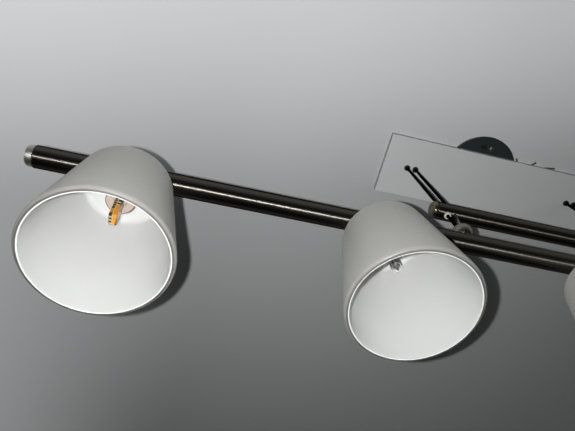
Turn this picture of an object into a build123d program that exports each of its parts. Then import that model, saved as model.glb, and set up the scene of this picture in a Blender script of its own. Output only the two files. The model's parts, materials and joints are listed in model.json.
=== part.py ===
"""Ceiling bar spotlight: a tray plate on a round ceiling disc, two pairs of drop rods, a short upper bar,
a long lower bar hung below it on the outer rods, and five bell-shaped glass heads that swing about the lower
bar and lean along it. Millimetres, +Z up. The origin lies in the ceiling plane, above the middle of the bars,
and +X runs along the bars."""

import math
import os

from build123d import *

# Ceiling disc
disc_radius = 52.0
disc_thickness = 3.0
disc_x = -24.6
disc_y = -14.4
disc_wire_hole_radius = 6.0
mount_spacing = 69.85
mount_hole_radius = 2.5
disc_slot_length = 11.0
disc_slot_width = 6.0
disc_slot_reach = 36.6
disc_slot_shift = 6.4
earth_screw_gap = 4.9

# Tray plate under the disc
plate_length = 332.4
plate_width = 84.5
plate_height = 8.0
plate_wall = 1.2
plate_inner_corner = 0.8
plate_edge = 0.8

# Strap inside the tray that carries the rods
strap_overhang = 13.5
strap_width = 16.0
strap_thickness = 2.5
strap_screw_spacing = 36.0

# Drop rods, in pairs
rod_radius = 1.9
pair_end_gap = 22.25
pair_gap = 12.3
rod_drop = 149.5
rod_top_gap = 0.4
grommet_radius = 4.2
grommet_neck_radius = 3.2
grommet_dome = 2.4
grommet_edge = 1.2
grommet_lip = 0.8
collar_base_radius = 3.0
collar_height = 6.0
collar_tip_wall = 0.5
ferrule_radius = 3.7
ferrule_height = 1.6
ferrule_edge = 0.4

# Bars
tube_radius = 10.0
tube_wall = 1.5
bar_drop = 77.0
upper_half_length = 147.6
lower_half_length = 541.0
cap_step = 0.7
upper_cap_length = 4.5
upper_cap_edge = 3.2
upper_cap_groove = 1.3
upper_cap_groove_depth = 1.8
lower_cap_length = 7.4
lower_cap_edge = 2.6
upper_cap_spigot = 6.0
lower_cap_spigot = 12.0

# Ball couplings between the outer rods and the lower bar
ball_radius = 10.5
ball_rise = 3.5
ball_neck_radius = 5.5
link_radius = 1.0
link_inset = 3.85
link_side = 2.4
link_from_rod = 2.1
link_depth = 2.0
link_start = 4.0

# Heads
head_count = 5
head_end_gap = 87.4
head_aims = [(4.64, 4.35), (2.69, 0.52), (5.39, -4.70), (3.40, 1.60), (4.20, -2.10)]
led_head = 0
head_collar_length = 20.0
head_collar_wall = 1.55
pivot_drop = 14.5
pin_radius = 1.2
pin_head_radius = 2.0
pin_head = 0.8
tongue_thickness = 4.0
tongue_radius = 2.5
ear_thickness = 2.0
ear_radius = 2.4
holder_radius = 16.0
holder_flange = 2.0
holder_neck_radius = 10.45
holder_bore_radius = 6.0
ring_radius = 17.0
ring_height = 4.0
neck_past_ring = 2.9
lampholder_radius = 11.5
lampholder_length = 17.8
lampholder_edge = 0.525

# Bell-shaped shade
shade_gap = 2.8
shade_length = 104.9
shade_rim_radius = 51.5
shade_back_radius = 37.0
shade_wall = 4.3
shade_shoulder = 10.5
shade_outer_lip = 3.0
outer_lip_share = 0.7
shade_inner_lip = 0.8
inner_lip_share = 0.2
shade_hole_clearance = 0.55

# Lamps
lamp_foot_width = 9.0
lamp_foot_thickness = 3.0
lamp_foot_depth = 8.0
capsule_radius = 5.0
capsule_reach = 27.3
capsule_tip_radius = 1.3
capsule_tip = 2.2
stick_width = 10.2
stick_thickness = 6.4
stick_reach = 28.7
stick_corner = 1.6

# Screws and nuts
screw_radius = 2.0
screw_head_radius = 3.6
screw_head = 2.0
screw_end_gap = 0.3
driver_slot_width = 1.0
driver_slot_depth = 0.9
nut_radius = 3.2
top_nut = 2.2
bottom_nut = 2.7
bar_nut = 3.2
rod_past_nut = 0.9

# Terminal block and leads
block_length = 30.0
block_width = 15.0
block_height = 6.0
block_x = 44.0
block_y = -16.5
block_edge = 0.8
lead_radius = 1.1
lead_pitch = 11.0
lead_straight = 5.5
lead_rise_inset = 6.3
lead_rise_drop = 0.4
lead_rim_inset = 0.9
lead_rim_lift = 1.4
lead_end_lift = 1.55
lead_turns = [-3.5, 0.5, 3.5]
lead_sweeps = [-8.0, 4.0, 12.5]
lead_ends = [(-10.6, 3.2), (9.0, 3.75), (29.0, 1.35)]
lead_bend_share = 0.45
bar_wire_radius = 1.0
bar_wire_spacing = 2.6
bar_wire_end = 30.0

# Fits
thread_clearance = 0.03
screw_clearance = 0.2
rod_clearance = 0.15
seat_clearance = 0.05
running_clearance = 0.05
moving_clearance = 0.4
slip_clearance = 0.3

# Levels and places that follow from the sizes above
disc_face = -disc_thickness
plate_face = disc_face - plate_height
plate_floor = plate_face + plate_wall
strap_face = disc_face - strap_thickness
upper_z = plate_face - rod_drop
lower_z = upper_z - bar_drop
tube_bore = tube_radius - tube_wall
pair_x = upper_half_length - pair_end_gap
outer_rod_x = pair_x + pair_gap / 2
inner_rod_x = pair_x - pair_gap / 2
head_spacing = 2 * (lower_half_length - head_end_gap) / (head_count - 1)
strap_length = 2 * (outer_rod_x + strap_overhang)
ball_z = lower_z + tube_radius + ball_rise + ball_radius
nut_seat = math.sqrt((tube_bore - seat_clearance) ** 2 - nut_radius**2)
rod_end = nut_seat - bar_nut - rod_past_nut
outer_rods = [(-outer_rod_x, 0), (outer_rod_x, 0)]
inner_rods = [(-inner_rod_x, 0), (inner_rod_x, 0)]
all_rods = outer_rods + inner_rods
disc_slots = [
    (disc_x - disc_slot_shift, disc_y - disc_slot_reach),
    (disc_x + disc_slot_shift, disc_y + disc_slot_reach),
]
earth_screw = (disc_slots[0][0] + disc_slot_length / 2 + earth_screw_gap, disc_slots[0][1])
strap_screws = [(disc_x - strap_screw_spacing / 2, 0), (disc_x + strap_screw_spacing / 2, 0)]
mount_holes = [(disc_x - mount_spacing / 2, disc_y), (disc_x + mount_spacing / 2, disc_y)]

# Distances along a head's aim, from its lean pin
flange_back = shade_gap - holder_flange
shade_inside = shade_gap + shade_wall
ring_face = shade_inside + ring_height
lampholder_back = ring_face + neck_past_ring
lampholder_face = lampholder_back + lampholder_length


def write(piece, name):
    """Label a finished piece and write it under its node name."""
    piece.part.label = name
    export_step(piece.part, f"parts/{name}.step")


def across(aim, distance):
    """The plane square to a head's aim, at a distance along it."""
    return Plane(aim.from_local_coords((0, distance, 0)), x_dir=aim.x_dir, z_dir=aim.y_dir)


def corner(sketch, point):
    """The sketch's corner that lies nearest to a point."""
    return sketch.vertices().sort_by_distance(point)[0]


def make_mounting_disc():
    with BuildPart() as mounting_disc:
        with BuildSketch(Plane.XY.offset(disc_face)):
            with Locations((disc_x, disc_y)):
                Circle(disc_radius)
                Circle(disc_wire_hole_radius, mode=Mode.SUBTRACT)
            with Locations(*mount_holes):
                Circle(mount_hole_radius, mode=Mode.SUBTRACT)
            with Locations(*disc_slots):
                SlotOverall(disc_slot_length, disc_slot_width, mode=Mode.SUBTRACT)
            with Locations(earth_screw, *strap_screws):
                Circle(screw_radius + thread_clearance, mode=Mode.SUBTRACT)
        extrude(amount=disc_thickness)
    write(mounting_disc, "mounting_disc")


def make_screws(name, places, seat, top):
    """Slotted screws with their heads below a seat, and their ends at a top level."""
    with BuildPart() as screws:
        with BuildSketch(Plane.XY.offset(seat)):
            with Locations(*places):
                Circle(screw_radius)
        extrude(amount=top - seat)
        with BuildSketch(Plane.XY.offset(seat - screw_head)):
            with Locations(*places):
                Circle(screw_head_radius)
        extrude(amount=screw_head)
        with BuildSketch(Plane.XY.offset(seat - screw_head)):
            with Locations(*places):
                Rectangle(2 * screw_head_radius, driver_slot_width)
        extrude(amount=driver_slot_depth, mode=Mode.SUBTRACT)
    write(screws, name)


def make_ceiling_plate():
    with BuildPart() as ceiling_plate:
        with BuildSketch(Plane.XY.offset(plate_face)):
            RectangleRounded(plate_length, plate_width, plate_inner_corner + plate_wall)
        extrude(amount=plate_height)
        fillet(ceiling_plate.faces().sort_by(Axis.Z)[0].edges(), plate_edge)
        with BuildSketch(Plane.XY.offset(plate_floor)):
            RectangleRounded(plate_length - 2 * plate_wall, plate_width - 2 * plate_wall, plate_inner_corner)
        extrude(amount=plate_height - plate_wall, mode=Mode.SUBTRACT)
        with BuildSketch(Plane.XY.offset(plate_face)):
            with Locations(*all_rods):
                Circle(grommet_neck_radius + seat_clearance)
        extrude(amount=plate_wall, mode=Mode.SUBTRACT)
    write(ceiling_plate, "ceiling_plate")


def make_strap():
    with BuildPart() as strap:
        with BuildSketch(Plane.XY.offset(strap_face)):
            SlotOverall(strap_length, strap_width)
            with Locations(*all_rods):
                Circle(rod_radius + rod_clearance, mode=Mode.SUBTRACT)
            with Locations(*strap_screws):
                Circle(screw_radius + screw_clearance, mode=Mode.SUBTRACT)
        extrude(amount=strap_thickness)
    write(strap, "strap")


def make_grommets():
    with BuildPart() as grommets:
        with BuildSketch(Plane.XY.offset(plate_face - grommet_dome)):
            with Locations(*all_rods):
                Circle(grommet_radius)
        extrude(amount=grommet_dome)
        fillet(grommets.faces().group_by(Axis.Z)[0].edges(), grommet_edge)
        with BuildSketch(Plane.XY.offset(plate_face)):
            with Locations(*all_rods):
                Circle(grommet_neck_radius)
        extrude(amount=plate_wall)
        with BuildSketch(Plane.XY.offset(plate_floor)):
            with Locations(*all_rods):
                Circle(grommet_radius)
        extrude(amount=grommet_lip)
        with BuildSketch(Plane.XY.offset(plate_face - grommet_dome)):
            with Locations(*all_rods):
                Circle(rod_radius + seat_clearance)
        extrude(amount=grommet_dome + plate_wall + grommet_lip, mode=Mode.SUBTRACT)
    write(grommets, "grommets")


def make_rods(name, places, bottom):
    with BuildPart() as rods:
        with BuildSketch(Plane.XY.offset(bottom)):
            with Locations(*places):
                Circle(rod_radius)
        extrude(amount=-rod_top_gap - bottom)
    write(rods, name)


def make_nuts(name, stacks):
    """Hexagon nuts on the rods: each stack is a list of places, a bottom level and a height."""
    with BuildPart() as nuts:
        for places, bottom, height in stacks:
            with BuildSketch(Plane.XY.offset(bottom)):
                with Locations(*places):
                    RegularPolygon(nut_radius, 6)
                    Circle(rod_radius + thread_clearance, mode=Mode.SUBTRACT)
            extrude(amount=height)
    write(nuts, name)


def make_rod_collars():
    """Small cones on the upper bar, round the foot of every rod."""
    with BuildPart() as rod_collars:
        with Locations(*[(x, y, upper_z + tube_radius + collar_height) for x, y in all_rods]):
            Cone(
                collar_base_radius,
                rod_radius + thread_clearance + collar_tip_wall,
                collar_height + tube_wall,
                align=(Align.CENTER, Align.CENTER, Align.MAX),
            )
        with BuildSketch(Plane.YZ.offset(-upper_half_length)):
            with Locations((0, upper_z)):
                Circle(tube_radius + seat_clearance)
        extrude(amount=2 * upper_half_length, mode=Mode.SUBTRACT)
        with BuildSketch(Plane.XY.offset(upper_z)):
            with Locations(*all_rods):
                Circle(rod_radius + thread_clearance)
        extrude(amount=2 * (tube_radius + collar_height), mode=Mode.SUBTRACT)
    write(rod_collars, "rod_collars")


def make_ferrules():
    """Rings on the outer rods that carry the upper bar from below."""
    with BuildPart() as ferrules:
        with BuildSketch(Plane.XY.offset(upper_z - tube_radius - seat_clearance - ferrule_height)):
            with Locations(*outer_rods):
                Circle(ferrule_radius)
                Circle(rod_radius + thread_clearance, mode=Mode.SUBTRACT)
        extrude(amount=ferrule_height)
        fillet(ferrules.faces().group_by(Axis.Z)[0].edges(), ferrule_edge)
    write(ferrules, "ferrules")


def link_plane(side):
    """The plane at a link wire's start inside the upper bar, facing its ball coupling."""
    start = Vector(side * (pair_x - link_inset), -link_side, upper_z - link_start)
    entry_side = rod_radius + link_from_rod
    entry_rise = math.sqrt(ball_radius**2 - entry_side**2)
    entry = Vector(side * outer_rod_x, -entry_side, ball_z + entry_rise)
    return Plane(start, z_dir=entry - start), (entry - start).length + link_depth


def make_upper_tube():
    half = upper_half_length - upper_cap_length - upper_cap_groove
    with BuildPart() as upper_tube:
        with BuildSketch(Plane.YZ.offset(-half)):
            with Locations((0, upper_z)):
                Circle(tube_radius)
                Circle(tube_bore, mode=Mode.SUBTRACT)
        extrude(amount=2 * half)
        with BuildSketch(Plane.XY.offset(upper_z)):
            with Locations(*all_rods):
                Circle(rod_radius + rod_clearance)
        extrude(amount=2 * tube_radius, mode=Mode.SUBTRACT)
        with BuildSketch(Plane.XY.offset(upper_z)):
            with Locations(*outer_rods):
                Circle(rod_radius + rod_clearance)
        extrude(amount=-2 * tube_radius, mode=Mode.SUBTRACT)
        for side in (-1, 1):
            with BuildSketch(link_plane(side)[0]):
                Circle(link_radius + rod_clearance)
            extrude(amount=tube_radius, mode=Mode.SUBTRACT)
    write(upper_tube, "upper_tube")


def make_lower_tube():
    half = lower_half_length - lower_cap_length
    with BuildPart() as lower_tube:
        with BuildSketch(Plane.YZ.offset(-half)):
            with Locations((0, lower_z)):
                Circle(tube_radius)
                Circle(tube_bore, mode=Mode.SUBTRACT)
        extrude(amount=2 * half)
        with BuildSketch(Plane.XY.offset(lower_z)):
            with Locations(*outer_rods):
                Circle(rod_radius + rod_clearance)
        extrude(amount=2 * tube_radius, mode=Mode.SUBTRACT)
    write(lower_tube, "lower_tube")


def make_upper_cap(side, name):
    """A short rounded plug, a little thinner than the upper tube, a groove and a spigot."""
    groove_x = upper_half_length - upper_cap_length
    tube_x = groove_x - upper_cap_groove
    groove_radius = tube_radius - upper_cap_groove_depth
    cap_radius = tube_radius - cap_step
    rim = (upper_half_length, cap_radius)
    with BuildPart() as cap:
        with BuildSketch(Plane((0, 0, upper_z), x_dir=(side, 0, 0), z_dir=(0, -side, 0))) as profile:
            with BuildLine():
                Polyline(
                    (tube_x - upper_cap_spigot, 0),
                    (upper_half_length, 0),
                    rim,
                    (groove_x, cap_radius),
                    (groove_x, groove_radius),
                    (tube_x, groove_radius),
                    (tube_x, tube_bore - seat_clearance),
                    (tube_x - upper_cap_spigot, tube_bore - seat_clearance),
                    close=True,
                )
            make_face()
            fillet(corner(profile, rim), upper_cap_edge)
        revolve(axis=Axis((0, 0, upper_z), (side, 0, 0)))
    write(cap, name)


def make_lower_cap(side, name):
    """A short rounded plug, a little thinner than the lower tube, and its spigot."""
    tube_x = lower_half_length - lower_cap_length
    with BuildPart() as cap:
        with BuildSketch(Plane((side * tube_x, 0, lower_z), x_dir=(0, 1, 0), z_dir=(side, 0, 0))):
            Circle(tube_radius - cap_step)
        extrude(amount=lower_cap_length)
        fillet(cap.faces().sort_by(Axis.X)[-1 if side > 0 else 0].edges(), lower_cap_edge)
        with BuildSketch(Plane((side * tube_x, 0, lower_z), x_dir=(0, 1, 0), z_dir=(-side, 0, 0))):
            Circle(tube_bore - seat_clearance)
        extrude(amount=lower_cap_spigot)
    write(cap, name)


def make_ball_coupling(side, name):
    """A ball on a short neck that sits saddled on the lower bar, bored for its rod and its link wire."""
    plane, length = link_plane(side)
    with BuildPart() as ball:
        with Locations((side * outer_rod_x, 0, ball_z)):
            Sphere(ball_radius)
        with BuildSketch(Plane.XY.offset(lower_z)):
            with Locations((side * outer_rod_x, 0)):
                Circle(ball_neck_radius)
        extrude(amount=ball_z - lower_z)
        with BuildSketch(Plane.YZ.offset(side * outer_rod_x)):
            with Locations((0, lower_z)):
                Circle(tube_radius + seat_clearance)
        extrude(amount=ball_radius, both=True, mode=Mode.SUBTRACT)
        with BuildSketch(Plane.XY.offset(lower_z)):
            with Locations((side * outer_rod_x, 0)):
                Circle(rod_radius + rod_clearance)
        extrude(amount=bar_drop, mode=Mode.SUBTRACT)
        with BuildSketch(plane):
            Circle(link_radius + rod_clearance)
        extrude(amount=length, mode=Mode.SUBTRACT)
    write(ball, name)


def make_link_wires():
    """The short wires that pass from the upper bar into the ball couplings."""
    with BuildPart() as link_wires:
        for side in (-1, 1):
            plane, length = link_plane(side)
            with BuildSketch(plane):
                Circle(link_radius)
            extrude(amount=length)
    write(link_wires, "link_wires")


def make_bar_wires():
    """The two wires that lie along the bottom of the lower bar."""
    half = lower_half_length - lower_cap_length - bar_wire_end
    depth = math.sqrt(
        (tube_bore - bar_wire_radius - seat_clearance) ** 2 - (bar_wire_spacing / 2) ** 2
    )
    with BuildPart() as bar_wires:
        with BuildSketch(Plane.YZ.offset(-half)):
            with Locations((-bar_wire_spacing / 2, lower_z - depth), (bar_wire_spacing / 2, lower_z - depth)):
                Circle(bar_wire_radius)
        extrude(amount=2 * half)
    write(bar_wires, "bar_wires")


def make_terminal_block():
    with BuildPart() as terminal_block:
        with BuildSketch(Plane.XY.offset(plate_floor)):
            with Locations((block_x, block_y)):
                Rectangle(block_length, block_width)
        extrude(amount=block_height)
        chamfer(terminal_block.faces().sort_by(Axis.Z)[-1].edges(), block_edge)
    write(terminal_block, "terminal_block")


def make_supply_leads():
    """Three leads from the terminal block, over the tray's rim to their cut ends outside it."""
    exit_y = block_y - block_width / 2
    exit_z = plate_floor + block_height / 2
    rim_y = -plate_width / 2
    with BuildPart() as supply_leads:
        for place in range(len(lead_ends)):
            lane_x = block_x + (place - 1) * lead_pitch
            end_x, end_reach = lead_ends[place]
            points = [
                Vector(lane_x, exit_y, exit_z),
                Vector(lane_x, exit_y - lead_straight, exit_z),
                Vector(lane_x + lead_turns[place], rim_y + lead_rise_inset, disc_face - lead_rise_drop),
                Vector(lane_x + lead_sweeps[place], rim_y + lead_rim_inset, disc_face + lead_rim_lift),
                Vector(lane_x + end_x, rim_y - end_reach, disc_face + lead_end_lift),
            ]
            radii = [bend_radius(*points[i : i + 3]) for i in range(len(points) - 2)]
            with BuildLine() as path:
                FilletPolyline(*points, radius=radii)
            with BuildSketch(Plane(path.line @ 0, z_dir=path.line % 0)):
                Circle(lead_radius)
            sweep(path=path.line)
    write(supply_leads, "supply_leads")


def bend_radius(before, point, after):
    """The largest bend that two runs of a lead leave room for, with a little straight left between bends."""
    turn = (point - before).get_angle(after - point)
    shorter = min((point - before).length, (after - point).length)
    return lead_bend_share * shorter / math.tan(math.radians(turn / 2))


def head_planes(number):
    """A head's swing plane on the bar's axis and its aim plane at the lean pin; local Y runs along the aim."""
    swing, lean = head_aims[number]
    head_x = (number - (head_count - 1) / 2) * head_spacing
    swung = Plane((head_x, 0, lower_z), x_dir=(1, 0, 0), z_dir=(0, 1, 0)).rotated((swing, 0, 0))
    pin = swung.from_local_coords((0, pivot_drop, 0))
    leaned = swung.x_dir.rotate(Axis((0, 0, 0), swung.z_dir), -lean)
    return swung, Plane(pin, x_dir=leaned, z_dir=swung.z_dir)


def make_collar(swung, name):
    """A sleeve that turns on the lower bar, with a tongue for the lean pin."""
    with BuildPart() as collar:
        with BuildSketch(Plane(swung.origin, x_dir=swung.z_dir, z_dir=swung.x_dir)):
            Circle(tube_radius + head_collar_wall)
        extrude(amount=head_collar_length / 2, both=True)
        with BuildSketch(swung):
            with Locations((0, pivot_drop)):
                Circle(tongue_radius)
            with Locations((0, pivot_drop / 2)):
                Rectangle(2 * tongue_radius, pivot_drop)
        extrude(amount=tongue_thickness / 2, both=True)
        with BuildSketch(Plane(swung.origin, x_dir=swung.z_dir, z_dir=swung.x_dir)):
            Circle(tube_radius + running_clearance)
        extrude(amount=head_collar_length, both=True, mode=Mode.SUBTRACT)
        with BuildSketch(swung):
            with Locations((0, pivot_drop)):
                Circle(pin_radius + running_clearance)
        extrude(amount=tongue_thickness, both=True, mode=Mode.SUBTRACT)
    write(collar, name)


def make_swivel_pin(aim, name):
    """The headed pin that the head leans on."""
    ear_face = tongue_thickness / 2 + slip_clearance + ear_thickness
    with BuildPart() as swivel_pin:
        with BuildSketch(aim.offset(-ear_face - slip_clearance)):
            Circle(pin_radius)
        extrude(amount=2 * (ear_face + slip_clearance))
        with BuildSketch(aim.offset(ear_face + seat_clearance)):
            Circle(pin_head_radius)
        extrude(amount=pin_head)
    write(swivel_pin, name)


def make_holder(aim, name):
    """A flange with two ears for the lean pin, and a hollow neck that passes through the shade."""
    ear_back = tongue_thickness / 2 + slip_clearance
    slot_length = 2 * (tongue_radius + moving_clearance) + holder_flange / 2
    slot_width = tongue_thickness + 2 * slip_clearance
    with BuildPart() as holder:
        with BuildSketch(across(aim, flange_back)):
            Circle(holder_radius)
        extrude(amount=holder_flange)
        with BuildSketch(across(aim, shade_gap)):
            Circle(holder_neck_radius)
        extrude(amount=lampholder_back - shade_gap)
        for side in (-1, 1):
            with BuildSketch(aim.offset(side * ear_back)):
                Circle(ear_radius)
                with Locations((0, (flange_back + holder_flange) / 2)):
                    Rectangle(2 * ear_radius, flange_back + holder_flange)
            extrude(amount=side * ear_thickness)
        with BuildSketch(across(aim, flange_back)):
            Rectangle(slot_length, slot_width)
        extrude(amount=tongue_radius + moving_clearance + holder_flange, mode=Mode.SUBTRACT)
        with BuildSketch(across(aim, lampholder_back)):
            Circle(holder_bore_radius)
        extrude(amount=shade_inside - shade_wall / 2 - lampholder_back, mode=Mode.SUBTRACT)
        with BuildSketch(aim):
            Circle(pin_radius + thread_clearance)
        extrude(amount=holder_radius, both=True, mode=Mode.SUBTRACT)
        for side in (-1, 1):
            with BuildSketch(aim.offset(side * (ear_back + ear_thickness))):
                Circle(pin_head_radius + slip_clearance)
            extrude(amount=side * holder_radius, mode=Mode.SUBTRACT)
    write(holder, name)


def make_retaining_ring(aim, name):
    with BuildPart() as retaining_ring:
        with BuildSketch(across(aim, shade_inside)):
            Circle(ring_radius)
            Circle(holder_neck_radius + thread_clearance, mode=Mode.SUBTRACT)
        extrude(amount=ring_height)
    write(retaining_ring, name)


def make_shade(aim, name):
    """A glass bell of even wall: flat back with a hole, round shoulder, straight flare and rounded lip."""
    front = shade_gap + shade_length
    flare = (shade_rim_radius - shade_back_radius) / shade_length
    wall_across = shade_wall * math.sqrt(1 + flare**2)
    hole_radius = holder_neck_radius + shade_hole_clearance
    outer_shoulder = (shade_back_radius, shade_gap)
    inner_shoulder = (shade_back_radius + flare * shade_wall - wall_across, shade_inside)
    outer_rim = (shade_rim_radius, front)
    inner_rim = (shade_rim_radius - wall_across, front)
    with BuildPart() as shade:
        with BuildSketch(aim) as profile:
            with BuildLine():
                Polyline(
                    (hole_radius, shade_gap),
                    outer_shoulder,
                    outer_rim,
                    inner_rim,
                    inner_shoulder,
                    (hole_radius, shade_inside),
                    close=True,
                )
            make_face()
            fillet(corner(profile, outer_shoulder), shade_shoulder)
            fillet(corner(profile, inner_shoulder), max(shade_shoulder - shade_wall, shade_inner_lip))
            fillet(corner(profile, outer_rim), min(shade_outer_lip, outer_lip_share * shade_wall))
            fillet(corner(profile, inner_rim), min(shade_inner_lip, inner_lip_share * shade_wall))
        revolve(axis=Axis(aim.origin, aim.y_dir))
    write(shade, name)


def make_lampholder(aim, name):
    """A round ceramic block on the neck's end, with a slot for the lamp's foot."""
    with BuildPart() as lampholder:
        with BuildSketch(across(aim, lampholder_back)):
            Circle(lampholder_radius)
        extrude(amount=lampholder_length)
        chamfer(lampholder.edges().filter_by(GeomType.CIRCLE), lampholder_edge)
        with BuildSketch(across(aim, lampholder_face)):
            Rectangle(lamp_foot_thickness + 2 * slip_clearance, lamp_foot_width + 2 * slip_clearance)
        extrude(amount=-lamp_foot_depth, mode=Mode.SUBTRACT)
    write(lampholder, name)


def make_capsule_lamp(aim, name):
    """A clear capsule with a drawn tip, and the flat foot that pushes into the lampholder."""
    shoulder = lampholder_face + capsule_radius / 2
    dome = lampholder_face + capsule_reach - capsule_tip - capsule_radius
    tip = lampholder_face + capsule_reach
    tip_base = dome + math.sqrt(capsule_radius**2 - capsule_tip_radius**2)
    with BuildPart() as lamp:
        with BuildSketch(aim):
            with BuildLine():
                Line((0, shoulder), (capsule_radius, shoulder))
                Line((capsule_radius, shoulder), (capsule_radius, dome))
                CenterArc(
                    (0, dome),
                    capsule_radius,
                    0,
                    math.degrees(math.acos(capsule_tip_radius / capsule_radius)),
                )
                Polyline((capsule_tip_radius, tip_base), (capsule_tip_radius / 2, tip), (0, tip), (0, shoulder))
            make_face()
        revolve(axis=Axis(aim.origin, aim.y_dir))
        with BuildSketch(across(aim, lampholder_face - lamp_foot_depth)):
            Rectangle(lamp_foot_thickness, lamp_foot_width)
        extrude(amount=shoulder - lampholder_face + lamp_foot_depth)
    write(lamp, name)


def make_stick_lamp(aim, name):
    """A flat stick of light-emitting chips in clear silicone, and its foot in the lampholder."""
    face = across(aim, lampholder_face)
    with BuildPart() as lamp:
        with BuildSketch(face):
            Rectangle(stick_thickness, stick_width)
        extrude(amount=stick_reach)
        fillet(lamp.edges().filter_by(Axis(aim.origin, aim.y_dir)), stick_corner)
        fillet(lamp.faces().sort_by(Axis(aim.origin, aim.y_dir))[-1].edges(), stick_corner)
        with BuildSketch(across(aim, lampholder_face - lamp_foot_depth)):
            Rectangle(lamp_foot_thickness, lamp_foot_width)
        extrude(amount=lamp_foot_depth)
    write(lamp, name)


os.makedirs("parts", exist_ok=True)

make_mounting_disc()
make_screws("earth_screw", [earth_screw], disc_face, -screw_end_gap)
make_screws("strap_screws", strap_screws, strap_face, -screw_end_gap)
make_ceiling_plate()
make_strap()
make_grommets()
make_rods("outer_rods", outer_rods, lower_z + rod_end)
make_rods("inner_rods", inner_rods, upper_z + rod_end)
make_nuts("strap_nuts", [(all_rods, disc_face, top_nut), (all_rods, strap_face - bottom_nut, bottom_nut)])
make_nuts(
    "bar_nuts",
    [(inner_rods, upper_z + nut_seat - bar_nut, bar_nut), (outer_rods, lower_z + nut_seat - bar_nut, bar_nut)],
)
make_rod_collars()
make_ferrules()
make_upper_tube()
make_lower_tube()
for side, word in ((-1, "left"), (1, "right")):
    make_upper_cap(side, f"upper_cap_{word}")
    make_lower_cap(side, f"lower_cap_{word}")
    make_ball_coupling(side, f"ball_coupling_{word}")
make_link_wires()
make_bar_wires()
make_terminal_block()
make_supply_leads()
for head in range(head_count):
    swung_plane, aim_plane = head_planes(head)
    label = head + 1
    make_collar(swung_plane, f"collar_{label}")
    make_swivel_pin(aim_plane, f"swivel_pin_{label}")
    make_holder(aim_plane, f"holder_{label}")
    make_retaining_ring(aim_plane, f"retaining_ring_{label}")
    make_lampholder(aim_plane, f"lampholder_{label}")
    make_shade(aim_plane, f"shade_{label}")
    make_lamp = make_stick_lamp if head == led_head else make_capsule_lamp
    make_lamp(aim_plane, f"lamp_{label}")
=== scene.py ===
"""Dresses the ceiling bar spotlight: enamel plate and disc, brushed bars, satin couplings, opal glass bells and
their lamps, under a plain pale ceiling. Metres, +Z up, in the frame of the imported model."""

import json
import logging
import math
from dataclasses import dataclass
from enum import Enum
from typing import Sequence

import bmesh
import bpy
from bpy.types import ID, Material, Node, NodeSocket, NodeTree, Object
from mathutils import Matrix, Vector


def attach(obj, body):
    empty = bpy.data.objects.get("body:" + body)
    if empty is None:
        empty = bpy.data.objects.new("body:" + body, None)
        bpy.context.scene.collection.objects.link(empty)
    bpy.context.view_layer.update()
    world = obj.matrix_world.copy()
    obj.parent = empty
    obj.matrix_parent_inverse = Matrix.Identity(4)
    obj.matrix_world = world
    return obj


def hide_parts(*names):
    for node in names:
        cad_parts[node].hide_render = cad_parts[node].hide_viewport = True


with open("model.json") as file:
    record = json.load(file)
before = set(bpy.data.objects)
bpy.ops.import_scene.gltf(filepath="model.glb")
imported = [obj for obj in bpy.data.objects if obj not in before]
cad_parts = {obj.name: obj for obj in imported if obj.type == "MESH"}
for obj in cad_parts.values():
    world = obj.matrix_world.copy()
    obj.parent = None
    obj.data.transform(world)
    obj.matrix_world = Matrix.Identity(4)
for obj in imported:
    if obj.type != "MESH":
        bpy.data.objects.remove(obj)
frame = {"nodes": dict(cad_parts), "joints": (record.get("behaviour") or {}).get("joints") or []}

log = logging.getLogger("bar_spotlight")

MM = 0.001
# The mesh attribute that tells which corner of a turned profile each point follows.
CORNER = "corner"
# Nearly all values of a noise texture lie between these two.
NOISE_LOW, NOISE_HIGH = 0.3, 0.7
QUARTER_TURN = 0.25
# A colour Mix node's sockets: its factor, its two colours and what it gives.
FACTOR, COLOUR_A, COLOUR_B, MIXED = 0, 6, 7, 2

Pair = tuple[float, float]
Triple = tuple[float, float, float]


class Slot(Enum):
    """The record's material slots that the scene's own pieces are listed with."""

    ZINC_STEEL = "zinc_steel"
    BLACK_RUBBER = "black_rubber"
    WHITE_NYLON = "white_nylon"
    LAMP_CERAMIC = "lamp_ceramic"
    OPAL_GLASS = "opal_glass"
    STICK_SILICONE = "stick_silicone"
    CLEAR_GLASS = "clear_glass"


class LampKind(Enum):
    """The two kinds of lamp that the heads hold."""

    STICK = "stick"
    CAPSULE = "capsule"


class Axis(Enum):
    """The axis that a brushed piece was turned about while it was brushed."""

    X = "X"
    Z = "Z"


def linear(colour: str) -> tuple[float, float, float, float]:
    """Turn an sRGB hex value into linear colour.

    Args:
        colour: Six hex digits with a leading hash.

    Returns:
        Red, green, blue and an alpha of 1.
    """
    parts = [int(colour[i : i + 2], 16) / 255 for i in (1, 3, 5)]
    red, green, blue = (c / 12.92 if c <= 0.04045 else ((c + 0.055) / 1.055) ** 2.4 for c in parts)
    return red, green, blue, 1.0


def per_mm(size: float) -> float:
    """Give a texture's scale, in repeats a metre, from a real size in millimetres."""
    return 1 / (size * MM)


def add_node(tree: NodeTree, kind: str, inputs: dict | None = None, **settings: object) -> Node:
    """Add a node with its settings and links.

    Args:
        tree: The tree that takes the node.
        kind: Blender's name for the node's type.
        inputs: Values, or output sockets to link, by the input's name or number.
        **settings: The node's own attributes.

    Returns:
        The new node.
    """
    node = tree.nodes.new(kind)
    for key, value in settings.items():
        setattr(node, key, value)
    for key, value in (inputs or {}).items():
        if isinstance(value, NodeSocket):
            tree.links.new(value, node.inputs[key])
        else:
            node.inputs[key].default_value = value
    return node


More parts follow.
